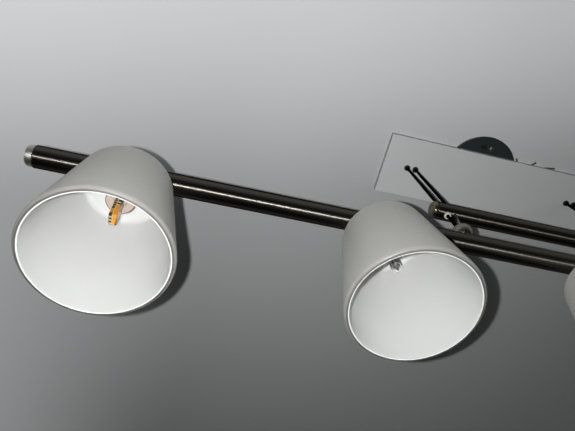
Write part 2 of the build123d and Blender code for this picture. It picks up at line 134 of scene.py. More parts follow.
def seen_rays(tree: NodeTree) -> NodeSocket:
    """Tell the rays that show a backdrop, straight or in metal and glass, from those that light the object.

    Args:
        tree: The backdrop's nodes.

    Returns:
        An output that is 1 for such a ray and 0 for any other.
    """
    rays = add_node(tree, "ShaderNodeLightPath").outputs
    seen = rays["Is Camera Ray"]
    for other in ("Is Glossy Ray", "Is Transmission Ray"):
        seen = add_node(tree, "ShaderNodeMath", {0: seen, 1: rays[other]}, operation="MAXIMUM").outputs[0]
    return seen


@dataclass(frozen=True)
class Finish:
    """A material's common name and the values that its shader starts from."""

    name: str
    colour: str
    roughness: float
    metallic: float = 0.0
    ior: float = 1.5

    def material(self) -> Material:
        """Build the finish.

        Returns:
            The material, with its pattern nodes in place.
        """
        made = bpy.data.materials.new(self.name)
        made.use_nodes = True
        tree = made.node_tree
        shader = tree.nodes["Principled BSDF"]
        shader.inputs["Base Color"].default_value = linear(self.colour)
        shader.inputs["Roughness"].default_value = self.roughness
        shader.inputs["Metallic"].default_value = self.metallic
        shader.inputs["IOR"].default_value = self.ior
        self.dress(tree, shader)
        return made

    def dress(self, tree: NodeTree, shader: Node) -> None:
        """Add the finish's own pattern.

        Args:
            tree: The material's nodes.
            shader: Its Principled shader.
        """
        raise NotImplementedError

    def vary_skin(
        self, tree: NodeTree, shader: Node, hue: NodeSocket, grain: NodeSocket, second_colour: str,
        gloss_spread: float, depth_mm: float
    ) -> None:
        """Mix a second colour in by one pattern, and vary the gloss and the relief by another.

        Args:
            tree: The material's nodes.
            shader: Its Principled shader.
            hue: The output that holds the colour's pattern.
            grain: The output that holds the pattern of the gloss and the relief.
            second_colour: The colour where the first pattern is high.
            gloss_spread: How far the roughness goes to either side of the finish's own.
            depth_mm: How high the relief stands, in millimetres.
        """
        both = {FACTOR: hue, COLOUR_A: linear(self.colour), COLOUR_B: linear(second_colour)}
        mix = add_node(tree, "ShaderNodeMix", both, data_type="RGBA")
        low, high = self.roughness - gloss_spread, self.roughness + gloss_spread
        gloss = add_node(
            tree, "ShaderNodeMapRange",
            {"Value": grain, "From Min": NOISE_LOW, "From Max": NOISE_HIGH, "To Min": low, "To Max": high}
        )
        relief = add_node(tree, "ShaderNodeBump", {"Height": grain, "Strength": 1.0, "Distance": depth_mm * MM})
        tree.links.new(mix.outputs[MIXED], shader.inputs["Base Color"])
        tree.links.new(gloss.outputs["Result"], shader.inputs["Roughness"])
        tree.links.new(relief.outputs["Normal"], shader.inputs["Normal"])


@dataclass(frozen=True)
class Coated(Finish):
    """A sprayed, plated, moulded or glazed skin: slow drift in colour, fine grain in gloss and relief.

    A grain that is finer than the render's pixels is drawn as coarse as it needs to show.
    """

    drift_colour: str = "#ffffff"
    drift_mm: float = 40.0
    grain_mm: float = 2.0
    grain_depth_mm: float = 0.02
    gloss_spread: float = 0.08

    def dress(self, tree: NodeTree, shader: Node) -> None:
        """Drift between two near colours, with a fine grain in the gloss and the relief.

        Args:
            tree: The material's nodes.
            shader: Its Principled shader.
        """
        place = add_node(tree, "ShaderNodeTexCoord").outputs["Object"]
        drift = add_node(tree, "ShaderNodeTexNoise", {"Vector": place, "Scale": per_mm(self.drift_mm), "Detail": 3.0})
        grain = add_node(tree, "ShaderNodeTexNoise", {"Vector": place, "Scale": per_mm(self.grain_mm), "Detail": 2.0})
        self.vary_skin(
            tree, shader, drift.outputs["Fac"], grain.outputs["Fac"], self.drift_colour, self.gloss_spread,
            self.grain_depth_mm
        )


@dataclass(frozen=True)
class Brushed(Finish):
    """Plated metal brushed while it turned: fine scratches round it, which draw a lamp out to a line along it."""

    metallic: float = 1.0
    axis: Axis = Axis.X
    anisotropy: float = 0.9
    scratch_mm: float = 1.4
    scratch_length_mm: float = 60.0
    scratch_depth_mm: float = 0.0
    gloss_spread: float = 0.05
    scratch_colour: str = "#808080"
    edge_colour: str = "#ffffff"

    def dress(self, tree: NodeTree, shader: Node) -> None:
        """Lay thin bands round the axis, in colour, gloss and relief, and stretch the gloss along the axis.

        Args:
            tree: The material's nodes.
            shader: Its Principled shader.
        """
        place = add_node(tree, "ShaderNodeTexCoord").outputs["Object"]
        # Real scratches are finer than the render's pixels, so these are as coarse as they need to be to show.
        along, round_it = per_mm(self.scratch_mm), per_mm(self.scratch_length_mm)
        scale = (along, round_it, round_it) if self.axis is Axis.X else (round_it, round_it, along)
        stretched = add_node(tree, "ShaderNodeMapping", {"Vector": place, "Scale": scale})
        scratch = add_node(
            tree, "ShaderNodeTexNoise", {"Vector": stretched.outputs["Vector"], "Scale": 1.0, "Detail": 4.0}
        ).outputs["Fac"]
        self.vary_skin(tree, shader, scratch, scratch, self.scratch_colour, self.gloss_spread, self.scratch_depth_mm)
        tangent = add_node(tree, "ShaderNodeTangent", direction_type="RADIAL", axis=self.axis.value)
        tree.links.new(tangent.outputs["Tangent"], shader.inputs["Tangent"])
        shader.inputs["Specular Tint"].default_value = linear(self.edge_colour)
        shader.inputs["Anisotropic"].default_value = self.anisotropy
        shader.inputs["Anisotropic Rotation"].default_value = QUARTER_TURN


@dataclass(frozen=True)
class OpalGlass(Finish):
    """Cased opal glass: etched clear glass over a white inner skin, which end side by side at the lip.

    The skin changes at corners of the bell's profile, which runs out over the back, down to the lip and back up:
    the etched outside, painted grey, the grey cut of the clear glass, the white cut of the inner skin and the inside,
    painted a paler grey; both greys are painted shade, for the light that grazes the sides and the bell's hollow.
    """

    casing_colour: str = "#8c8b87"
    cut_colour: str = "#62615e"
    edge_colour: str = "#fbfbfa"
    # The inside's colour is painted shade: the white inner skin drawn grey where the bell's hollow lies in shade.
    inside_shade_colour: str = "#d2d3d2"
    casing: Pair = (1.8, 2.4)
    cut: Pair = (2.55, 2.75)
    edge: Pair = (2.88, 2.94)
    inside: Pair = (3.25, 3.45)
    scatter_mm: float = 4.0
    scatter_weight: float = 0.25
    scatter_radius: Triple = (1.0, 0.97, 0.92)
    specular_level: float = 0.3
    cloud_mm: float = 55.0
    cloud_shade: Pair = (0.94, 1.03)
    grain_mm: float = 1.6
    gloss_spread: float = 0.06

    def dress(self, tree: NodeTree, shader: Node) -> None:
        """Scatter light below the skin, vary the etch, and change the skin at the lip.

        Args:
            tree: The material's nodes.
            shader: Its Principled shader.
        """
        place = add_node(tree, "ShaderNodeTexCoord").outputs["Object"]
        cloud = add_node(tree, "ShaderNodeTexNoise", {"Vector": place, "Scale": per_mm(self.cloud_mm), "Detail": 2.0})
        # The etch's real grain is finer than the render's pixels, so this one is as coarse as it needs to be to show.
        etch = add_node(tree, "ShaderNodeTexNoise", {"Vector": place, "Scale": per_mm(self.grain_mm), "Detail": 2.0})
        corner = add_node(tree, "ShaderNodeAttribute", attribute_name=CORNER).outputs["Fac"]
        skin = linear(self.colour)
        for (low, high), colour in (
            (self.casing, self.casing_colour), (self.cut, self.cut_colour), (self.edge, self.edge_colour),
            (self.inside, self.inside_shade_colour)
        ):
            past = add_node(tree, "ShaderNodeMapRange", {"Value": corner, "From Min": low, "From Max": high})
            both = {FACTOR: past.outputs["Result"], COLOUR_A: skin, COLOUR_B: linear(colour)}
            skin = add_node(tree, "ShaderNodeMix", both, data_type="RGBA").outputs[MIXED]
        dark, pale = self.cloud_shade
        shade = add_node(tree, "ShaderNodeMapRange", {"Value": cloud.outputs["Fac"], "To Min": dark, "To Max": pale})
        colour = add_node(tree, "ShaderNodeVectorMath", {0: skin, 1: shade.outputs["Result"]}, operation="MULTIPLY")
        gloss = add_node(
            tree, "ShaderNodeMapRange",
            {
                "Value": etch.outputs["Fac"], "From Min": NOISE_LOW, "From Max": NOISE_HIGH,
                "To Min": self.roughness - self.gloss_spread, "To Max": self.roughness + self.gloss_spread
            }
        )
        shader.inputs["Specular IOR Level"].default_value = self.specular_level
        shader.inputs["Subsurface Weight"].default_value = self.scatter_weight
        shader.inputs["Subsurface Radius"].default_value = self.scatter_radius
        shader.inputs["Subsurface Scale"].default_value = self.scatter_mm * MM
        tree.links.new(colour.outputs["Vector"], shader.inputs["Base Color"])
        tree.links.new(gloss.outputs["Result"], shader.inputs["Roughness"])


@dataclass(frozen=True)
class Clear(Finish):
    """Clear glass, silicone or sleeve: it bends what is behind it, with a little haze."""

    haze_mm: float = 6.0
    haze: float = 0.1

    def dress(self, tree: NodeTree, shader: Node) -> None:
        """Let light through, and vary the haze.

        Args:
            tree: The material's nodes.
            shader: Its Principled shader.
        """
        place = add_node(tree, "ShaderNodeTexCoord").outputs["Object"]
        haze = add_node(tree, "ShaderNodeTexNoise", {"Vector": place, "Scale": per_mm(self.haze_mm), "Detail": 2.0})
        gloss = add_node(
            tree, "ShaderNodeMapRange",
            {"Value": haze.outputs["Fac"], "To Min": self.roughness, "To Max": self.roughness + self.haze}
        )
        shader.inputs["Transmission Weight"].default_value = 1.0
        tree.links.new(gloss.outputs["Result"], shader.inputs["Roughness"])


class Palette:
    """Every finish of the fixture, built once."""

    def __init__(self) -> None:
        """Build the finishes."""
        # Sprayed and baked: an even skin with a faint orange peel.
        self.white_enamel = Coated(
            "powder_coated_white_steel", "#f2f3f3", 0.42, drift_colour="#edeff0", grain_mm=1.8
        ).material()
        # Dipped enamel over steel: dark, a little green and half dull.
        self.grey_enamel = Coated(
            "grey_enamelled_steel", "#343c3b", 0.5, drift_colour="#2c3433", drift_mm=25.0, grain_mm=1.5
        ).material()
        # Zinc plate: a soft pale metal with cloudy patches.
        self.zinc = Coated(
            "zinc_plated_steel", "#c4c3be", 0.34, metallic=1.0, drift_colour="#b1b0a9", drift_mm=9.0, grain_mm=1.2,
            grain_depth_mm=0.01
        ).material()
        # Brass: warm yellow, turned, with a fine grain.
        self.brass = Coated(
            "turned_brass", "#c9a765", 0.3, metallic=1.0, drift_colour="#b8954f", drift_mm=5.0, grain_mm=0.6
        ).material()
        # Moulded rubber: near black, matt, with a fine tooth.
        self.rubber = Coated(
            "black_moulded_rubber", "#161616", 0.62, drift_colour="#1f1e1d", drift_mm=6.0, grain_mm=0.8
        ).material()
        # Nickel over brushed steel, painted a dark brownish grey with darkened edges: painted reflection of the dark
        # room that it mirrors. The lamp draws one sharp line of light along it.
        self.nickel_painted_dark = Brushed(
            "brushed_nickel_tube_painted_dark", "#5d5a54", 0.4, anisotropy=1.0, scratch_mm=0.9, scratch_depth_mm=0.03,
            scratch_colour="#625f59", edge_colour="#222221"
        ).material()
        # The same plate on a drawn rod, painted darker still with darkened edges, the same painted reflection of a dark
        # room, and smoother along its length.
        self.rod_painted_dark = Brushed(
            "drawn_nickel_rod_painted_dark", "#161412", 0.36, axis=Axis.Z, anisotropy=0.6,
            scratch_colour="#1e1c1a", edge_colour="#222221"
        ).material()
        # Nickel plate on the turned caps, painted brownish and half bright: painted reflection of the dark room it
        # mirrors.
        self.bright_nickel = Brushed(
            "cap_nickel_plate_painted_dark", "#6f6857", 0.3, anisotropy=0.3, scratch_colour="#7c7564"
        ).material()
        # Satin nickel: pale, soft highlights.
        self.satin_nickel = Brushed("satin_nickel_plate", "#a8a49b", 0.5, scratch_colour="#b6b2a9").material()
        # The same plate on the end plugs, brushed round: a broad band of light along them.
        self.plug_nickel = Brushed(
            "satin_nickel_plug", "#bfbbb1", 0.6, anisotropy=0.75, scratch_colour="#cac6bc"
        ).material()
        # The same satin plate on the cast balls, painted a shade darker: painted reflection of the dark room it faces,
        # with a small bright spot from the lamp.
        self.ball_nickel_painted_dark = Brushed(
            "satin_nickel_casting_painted_dark", "#7f7a71", 0.26, anisotropy=0.2, scratch_colour="#86817a"
        ).material()
        # Cased opal glass: an etched outside over a white inner skin, which shows as a bright line at the lip. Its
        # outside is painted grey and its inside a paler grey: painted shade, for the grazing light on its sides and the
        # bell's hollow.
        self.opal = OpalGlass("opal_cased_glass_painted_shade", "#a1a19d", 0.42).material()
        # Lamp glass: clear, with a trace of haze.
        self.clear_glass = Clear("clear_lamp_glass", "#ffffff", 0.02).material()
        # Wire sleeve: clear plastic, a little milky.
        self.clear_sleeve = Clear("clear_wire_sleeve", "#e8e8e2", 0.12, ior=1.45).material()
        # Cast silicone: clear and soft-edged, faintly warm.
        self.silicone = Clear("clear_cast_silicone", "#fbf8f0", 0.04, ior=1.41).material()
        # Phosphor in silicone: saturated amber, slightly grainy.
        self.phosphor = Coated(
            "amber_phosphor_gel", "#d18f27", 0.4, drift_colour="#c58420", drift_mm=4.0, grain_mm=0.5
        ).material()
        # Circuit board under white solder mask, painted cream: painted light, the amber glow from the phosphor beside
        # it.
        self.board_painted_light = Coated(
            "white_masked_board_painted_amber_light", "#c9b98d", 0.4, drift_colour="#bcab7e", drift_mm=5.0, grain_mm=0.5
        ).material()
        # Moulded chip housings: near black and matt.
        self.epoxy = Coated(
            "black_moulded_epoxy", "#1d1a17", 0.45, drift_colour="#2a2622", drift_mm=2.0, grain_mm=0.4
        ).material()
        # Tungsten and molybdenum wire: grey metal with a dull shine.
        self.tungsten = Coated(
            "drawn_tungsten_wire", "#b3b0aa", 0.36, metallic=1.0, drift_colour="#a09d97", drift_mm=2.0, grain_mm=0.3
        ).material()
        # Glazed steatite: a warm greyish white with a soft shine.
        self.ceramic = Coated(
            "glazed_lamp_ceramic", "#b8aba2", 0.36, drift_colour="#ad9f95", drift_mm=8.0, grain_mm=1.0
        ).material()
        # Moulded white resin: even and slightly shiny.
        self.resin = Coated(
            "white_moulded_resin", "#e8e7e3", 0.38, drift_colour="#e0dfda", drift_mm=9.0, grain_mm=1.0
        ).material()
        # Steatite browned along its edge by heat.
        self.browned = Coated(
            "browned_ceramic_edge", "#8a5440", 0.5, drift_colour="#6f3f2e", drift_mm=3.0, grain_mm=0.8
        ).material()
        # Natural nylon: cream, waxy.
        self.nylon = Coated(
            "moulded_white_nylon", "#e6e2d6", 0.48, drift_colour="#dcd7c9", drift_mm=10.0, grain_mm=0.9
        ).material()
        # Wire insulation: dark, rubbed a little pale.
        self.insulation = Coated(
            "grey_lead_insulation", "#4a4641", 0.45, drift_colour="#3c3935", drift_mm=8.0, grain_mm=0.7
        ).material()


def dress_node(name: str, finish: Material) -> None:
    """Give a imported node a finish.

    Args:
        name: The node.
        finish: The material for all its faces.
    """
    for slot in frame["nodes"][name].material_slots:
        slot.material = finish
    log.info("node %s: %s", name, finish.name)


def settle(piece: Object, body: str, slot: Slot, *nodes: str) -> None:
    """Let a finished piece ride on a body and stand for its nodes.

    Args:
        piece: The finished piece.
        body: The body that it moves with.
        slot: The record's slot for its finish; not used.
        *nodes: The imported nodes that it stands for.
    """
    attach(piece, body)
    if nodes:
        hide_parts(*nodes)
    log.info("piece %s on %s", piece.name, body)


def new_tree(name: str, sizes: dict[str, str]) -> tuple[NodeTree, Node, Node]:
    """Start a geometry tree with named inputs.

    Args:
        name: The tree's name.
        sizes: Each input's socket type, by name.

    Returns:
        The tree, its input node and its output node.
    """
    tree = bpy.data.node_groups.new(name, "GeometryNodeTree")
    for label, kind in sizes.items():
        tree.interface.new_socket(label, in_out="INPUT", socket_type=kind)
    tree.interface.new_socket("Mesh", in_out="OUTPUT", socket_type="NodeSocketGeometry")
    return tree, tree.nodes.new("NodeGroupInput"), tree.nodes.new("NodeGroupOutput")


def finish_tree(tree: NodeTree, shape: NodeSocket, finish: NodeSocket, out: Node) -> None:
    """End a geometry tree: make copies real and give all of it one finish.

    Args:
        tree: The tree.
        shape: The output that holds its geometry.
        finish: The output that holds its material.
        out: The tree's output node.
    """
    whole = add_node(tree, "GeometryNodeRealizeInstances", {"Geometry": shape}).outputs["Geometry"]
    dressed = add_node(tree, "GeometryNodeSetMaterial", {"Geometry": whole, "Material": finish})
    tree.links.new(dressed.outputs["Geometry"], out.inputs["Mesh"])


def keep_mesh(piece: Object, place: Matrix) -> Object:
    """Turn what a piece's modifiers give into its plain mesh.

    Args:
        piece: The piece with its modifiers.
        place: Where its mesh goes.

    Returns:
        The same piece, with its place in its mesh.
    """
    evaluated = piece.evaluated_get(bpy.context.evaluated_depsgraph_get())
    mesh = bpy.data.meshes.new_from_object(evaluated)
    piece.modifiers.clear()
    piece.data = mesh
    mesh.transform(place)
    return piece


def new_piece(name: str, data: ID) -> Object:
    """Put new data in the scene as an object at the origin.

    Args:
        name: The object's name.
        data: Its mesh, curve, camera or light.

    Returns:
        The object.
    """
    piece = bpy.data.objects.new(name, data)
    bpy.context.scene.collection.objects.link(piece)
    return piece


@dataclass(frozen=True)
class Grown:
    """A geometry tree with a value for each of its named inputs."""

    tree: NodeTree
    values: dict[str, object]

    def grow(self, name: str, place: Matrix) -> Object:
        """Run the tree and keep its result as a plain mesh.

        Args:
            name: The new piece's name.
            place: Where the result goes.

        Returns:
            The piece, with its place in its mesh.
        """
        piece = new_piece(name, bpy.data.meshes.new(name))
        modifier = piece.modifiers.new(name, "NODES")
        modifier.node_group = self.tree
        for item in self.tree.interface.items_tree:
            if item.in_out == "INPUT":
                modifier[item.identifier] = self.values[item.name]
        return keep_mesh(piece, place)


def rounded_box(name: str, size: Triple, middle: Triple, edge: float, finish: Material, place: Matrix) -> Object:
    """Make a block with round edges and flat faces.

    Args:
        name: The new piece's name.
        size: Its sides in millimetres.
        middle: Its middle in millimetres, before it is placed.
        edge: The radius of its edges in millimetres.
        finish: Its material.
        place: Where it goes.

    Returns:
        The piece, with its place in its mesh.
    """
    drawn = bmesh.new()
    bmesh.ops.create_cube(drawn, size=1.0)
    bmesh.ops.scale(drawn, vec=Vector(size) * MM, verts=drawn.verts)
    bmesh.ops.translate(drawn, vec=Vector(middle) * MM, verts=drawn.verts)
    bmesh.ops.bevel(drawn, geom=drawn.edges[:], offset=edge * MM, segments=4, profile=0.5, affect="EDGES")
    mesh = bpy.data.meshes.new(name)
    drawn.to_mesh(mesh)
    drawn.free()
    mesh.materials.append(finish)
    mesh.shade_smooth()
    piece = new_piece(name, mesh)
    piece.modifiers.new("flats", "WEIGHTED_NORMAL")
    return keep_mesh(piece, place)


def wire(name: str, points: Sequence[Triple], radius: float, finish: Material, place: Matrix) -> Object:
    """Bend a round stiff wire along a few points.

    Args:
        name: The new piece's name.
        points: The points in millimetres, before it is placed.
        radius: The wire's radius in millimetres.
        finish: Its material.
        place: Where it goes.

    Returns:
        The piece, as a mesh.
    """
    curve = bpy.data.curves.new(name, "CURVE")
    curve.dimensions = "3D"
    curve.bevel_depth = radius * MM
    curve.bevel_resolution = 3
    curve.use_fill_caps = True
    curve.materials.append(finish)
    spline = curve.splines.new("NURBS")
    spline.points.add(len(points) - 1)
    for point, spot in zip(spline.points, points):
        point.co = (*(value * MM for value in spot), 1.0)
    spline.order_u = 3
    spline.use_endpoint_u = True
    line = new_piece(name, curve)
    mesh = bpy.data.meshes.new_from_object(line.evaluated_get(bpy.context.evaluated_depsgraph_get()))
    bpy.data.objects.remove(line)
    mesh.transform(place)
    return new_piece(name, mesh)


@dataclass(frozen=True)
class HeadFrame:
    """A head's own axes: X across, Y square to it and Z along its aim, from the lean pin."""

    pin: Vector
    across: Vector
    aim: Vector

    @classmethod
    def of_head(cls, number: int) -> "HeadFrame":
        """Read a head's rest aim from its lean joint.

        Args:
            number: The head, from 1.

        Returns:
            Its axes.
        """
        joint = next(j for j in frame["joints"] if j["name"] == f"head_{number}_lean")
        hinge = -Vector(joint["axis"]).normalized()
        lean = -math.radians(sum(joint["range_deg"]) / 2)
        bar = Vector((1, 0, 0))
        down = hinge.cross(bar)
        aim = down * math.cos(lean) + bar * math.sin(lean)
        across = bar * math.cos(lean) - down * math.sin(lean)
        return cls(Vector(joint["pos_m"]), across, aim)

    def matrix(self) -> Matrix:
        """Give the transform from the head's axes to the frame."""
        columns = (self.across, self.aim.cross(self.across), self.aim)
        return Matrix.Translation(self.pin) @ Matrix(columns).transposed().to_4x4()


@dataclass
class Turning:
    """A profile with rounded corners, turned about an axis. Sizes in millimetres, by name."""

    name: str
    sizes: dict[str, float]
    corners: Sequence[tuple[str, str, str]]
    steps: int = 96
    bends: int = 8

    def tree(self) -> NodeTree:
        """Build the tree that rounds the profile and turns it about Z.

        Returns:
            The geometry tree. Its mesh tells, as an attribute, which corner of the profile each point follows.
        """
        kinds = {name: "NodeSocketFloat" for name in self.sizes}
        tree, given, out = new_tree(self.name, {**kinds, "Steps": "NodeSocketInt", "Finish": "NodeSocketMaterial"})
        size = given.outputs
        # The profile: a line with a point for each corner, closed and rounded.
        line = add_node(tree, "GeometryNodeMeshLine", {"Count": len(self.corners)})
        index = add_node(tree, "GeometryNodeInputIndex").outputs["Index"]
        where = add_node(tree, "GeometryNodeIndexSwitch", {"Index": index}, data_type="VECTOR")
        bend = add_node(tree, "GeometryNodeIndexSwitch", {"Index": index}, data_type="FLOAT")
        for number, (radius, level, edge) in enumerate(self.corners):
            if number > 1:
                where.index_switch_items.new()
                bend.index_switch_items.new()
            corner = add_node(tree, "ShaderNodeCombineXYZ", {"X": size[radius], "Y": size[level]})
            tree.links.new(corner.outputs["Vector"], where.inputs[number + 1])
            tree.links.new(size[edge], bend.inputs[number + 1])
        placed = add_node(
            tree, "GeometryNodeSetPosition", {"Geometry": line.outputs["Mesh"], "Position": where.outputs["Output"]}
        )
        curve = add_node(tree, "GeometryNodeMeshToCurve", {"Mesh": placed.outputs["Geometry"]})
        loop = add_node(tree, "GeometryNodeSetSplineCyclic", {"Geometry": curve.outputs["Curve"], "Cyclic": True})
        bent = {"Count": self.bends, "Radius": bend.outputs["Output"], "Limit Radius": True}
        rounded = add_node(tree, "GeometryNodeFilletCurve", {"Curve": loop.outputs["Geometry"], **bent}, mode="POLY")
        cut = add_node(tree, "GeometryNodeSubdivideCurve", {"Curve": rounded.outputs["Curve"], "Cuts": 1})
        fine = cut.outputs["Curve"]
        counted = add_node(tree, "GeometryNodeAttributeDomainSize", {"Geometry": fine}, component="CURVE")
        points = counted.outputs["Point Count"]
        # A grid whose rows follow the profile and whose columns go round the axis, each with one more for the seam.
        rows = add_node(tree, "ShaderNodeMath", {0: points, 1: 1.0}, operation="ADD").outputs[0]
        turns = add_node(tree, "ShaderNodeMath", {0: size["Steps"], 1: 1.0}, operation="ADD").outputs[0]
        grid = add_node(tree, "GeometryNodeMeshGrid", {"Vertices X": rows, "Vertices Y": turns})
        row = add_node(tree, "ShaderNodeMath", {0: index, 1: turns}, operation="DIVIDE").outputs[0]
        row = add_node(tree, "ShaderNodeMath", {0: row}, operation="FLOOR").outputs[0]
        step = add_node(tree, "ShaderNodeMath", {0: index, 1: turns}, operation="MODULO").outputs[0]
        wrapped = add_node(tree, "ShaderNodeMath", {0: row, 1: points}, operation="MODULO").outputs[0]
        # Each point of the grid goes where its row's point of the profile comes by its column's turn.
        position = add_node(tree, "GeometryNodeInputPosition").outputs["Position"]
        sampled = add_node(
            tree, "GeometryNodeSampleIndex", {"Geometry": fine, "Index": wrapped, "Value": position},
            data_type="FLOAT_VECTOR", domain="POINT"
        )
        profile = add_node(tree, "ShaderNodeSeparateXYZ", {"Vector": sampled.outputs["Value"]}).outputs
        share = add_node(tree, "ShaderNodeMath", {0: step, 1: size["Steps"]}, operation="DIVIDE").outputs[0]
        angle = add_node(tree, "ShaderNodeMath", {0: share, 1: math.tau}, operation="MULTIPLY").outputs[0]
        spot = {"Z": profile["Y"]}
        for side, wave in (("X", "COSINE"), ("Y", "SINE")):
            part = add_node(tree, "ShaderNodeMath", {0: angle}, operation=wave).outputs[0]
            spot[side] = add_node(tree, "ShaderNodeMath", {0: profile["X"], 1: part}, operation="MULTIPLY").outputs[0]
        turned = add_node(tree, "ShaderNodeCombineXYZ", spot)
        shell = add_node(
            tree, "GeometryNodeSetPosition", {"Geometry": grid.outputs["Mesh"], "Position": turned.outputs["Vector"]}
        )
        # How far along the profile it lies, counted in corners; then the seams are closed.
        past = add_node(tree, "ShaderNodeMath", {0: row, 1: points}, operation="DIVIDE").outputs[0]
        count = float(len(self.corners))
        past = add_node(tree, "ShaderNodeMath", {0: past, 1: count}, operation="MULTIPLY").outputs[0]
        marked = add_node(
            tree, "GeometryNodeStoreNamedAttribute",
            {"Geometry": shell.outputs["Geometry"], "Name": CORNER, "Value": past}, data_type="FLOAT", domain="POINT"
        )
        closed = add_node(
            tree, "GeometryNodeMergeByDistance", {"Geometry": marked.outputs["Geometry"], "Distance": 1e-6}
        )
        smooth = add_node(tree, "GeometryNodeSetShadeSmooth", {"Geometry": closed.outputs["Geometry"]})
        finish_tree(tree, smooth.outputs["Geometry"], size["Finish"], out)
        return tree

    def build(self, finish: Material) -> Grown:
        """Ready the turning in one finish.

        Args:
            finish: Its material.

        Returns:
            The tree with its values, which makes as many pieces as are asked for.
        """
        lengths = {name: value * MM for name, value in self.sizes.items()}
        return Grown(self.tree(), {**lengths, "Steps": self.steps, "Finish": finish})

    @classmethod
    def ring(cls, name: str, radii: Pair, levels: Pair, edge: float, steps: int, bends: int) -> "Turning":
        """Give a plain ring whose edges are all rounded alike.

        Args:
            name: Its name.
            radii: Its inner and its outer radius.
            levels: Where it starts and ends along its axis.
            edge: The radius of its edges.
            steps: The steps of a full turn.
            bends: The steps of a rounded edge.

        Returns:
            Its turned profile.
        """
        (bore, radius), (low, high) = radii, levels
        sizes = {"Bore": bore, "Radius": radius, "Low": low, "High": high, "Edge": edge}
        around = (("Bore", "Low"), ("Radius", "Low"), ("Radius", "High"), ("Bore", "High"))
        return cls(name, sizes, [(*corner, "Edge") for corner in around], steps, bends)


@dataclass
class Row:
    """One small part, repeated along a line or round a circle."""

    name: str
    count: int
    step: Triple = (0.0, 0.0, 0.0)
    radius: float = 0.0

    def tree(self) -> NodeTree:
        """Build the tree that sets copies of a part on points.

        Returns:
            The geometry tree.
        """
        kinds = {
            "Part": "NodeSocketObject", "Count": "NodeSocketInt", "Step": "NodeSocketVector",
            "Radius": "NodeSocketFloat", "Finish": "NodeSocketMaterial"
        }
        tree, given, out = new_tree(self.name, kinds)
        size = given.outputs
        part = add_node(tree, "GeometryNodeObjectInfo", {"Object": size["Part"]}).outputs["Geometry"]
        if self.radius:
            ring = {"Vertices": size["Count"], "Radius": size["Radius"]}
            points = add_node(tree, "GeometryNodeMeshCircle", ring).outputs["Mesh"]
            index = add_node(tree, "GeometryNodeInputIndex").outputs["Index"]
            share = add_node(tree, "ShaderNodeMath", {0: index, 1: size["Count"]}, operation="DIVIDE").outputs[0]
            angle = add_node(tree, "ShaderNodeMath", {0: share, 1: math.tau}, operation="MULTIPLY").outputs[0]
            turn = add_node(tree, "ShaderNodeCombineXYZ", {"Z": angle}).outputs["Vector"]
        else:
            line = {"Count": size["Count"], "Offset": size["Step"]}
            points = add_node(tree, "GeometryNodeMeshLine", line).outputs["Mesh"]
            turn = (0.0, 0.0, 0.0)
        copies = add_node(
            tree, "GeometryNodeInstanceOnPoints", {"Points": points, "Instance": part, "Rotation": turn}
        )
        finish_tree(tree, copies.outputs["Instances"], size["Finish"], out)
        return tree

    def build(self, part: Object, finish: Material) -> Grown:
        """Ready the row for one part, which is kept until the row is grown.

        Args:
            part: The part to repeat.
            finish: Its material.

        Returns:
            The tree with its values.
        """
        step = tuple(value * MM for value in self.step)
        values = {"Part": part, "Count": self.count, "Step": step, "Radius": self.radius * MM, "Finish": finish}
        return Grown(self.tree(), values)


@dataclass
class GlassBell:
    """An opal glass bell of even wall, turned about the aim. Sizes in millimetres."""

    palette: Palette
    gap: float = 2.8
    length: float = 104.9
    rim_radius: float = 51.5
    back_radius: float = 37.0
    wall: float = 4.3
    shoulder: float = 10.5
    outer_lip: float = 3.0
    inner_lip: float = 0.8
    hole_radius: float = 11.0
    hole_edge: float = 0.5

    def turning(self) -> Turning:
        """Work out the bell's corners and rounds.

        Returns:
            Its turned profile.
        """
        flare = (self.rim_radius - self.back_radius) / self.length
        wall_across = self.wall * math.sqrt(1 + flare**2)
        sizes = {
            "Hole Radius": self.hole_radius, "Back Radius": self.back_radius, "Rim Radius": self.rim_radius,
            "Inner Rim Radius": self.rim_radius - wall_across,
            "Inner Back Radius": self.back_radius + flare * self.wall - wall_across, "Back": self.gap,
            "Inside": self.gap + self.wall, "Front": self.gap + self.length, "Shoulder": self.shoulder,
            "Inner Shoulder": self.shoulder - self.wall, "Outer Lip": self.outer_lip, "Inner Lip": self.inner_lip,
            "Hole Edge": self.hole_edge
        }
        corners = [
            ("Hole Radius", "Back", "Hole Edge"), ("Back Radius", "Back", "Shoulder"),
            ("Rim Radius", "Front", "Outer Lip"), ("Inner Rim Radius", "Front", "Inner Lip"),
            ("Inner Back Radius", "Inside", "Inner Shoulder"), ("Hole Radius", "Inside", "Hole Edge")
        ]
        return Turning("glass_bell", sizes, corners, steps=144, bends=10)

    def build(self, heads: range) -> None:
        """Make one bell for each head.

        Args:
            heads: The heads' numbers.
        """
        bell = self.turning().build(self.palette.opal)
        for number in heads:
            piece = bell.grow(f"glass_bell_{number}", HeadFrame.of_head(number).matrix())
            settle(piece, f"head_{number}", Slot.OPAL_GLASS, f"shade_{number}")


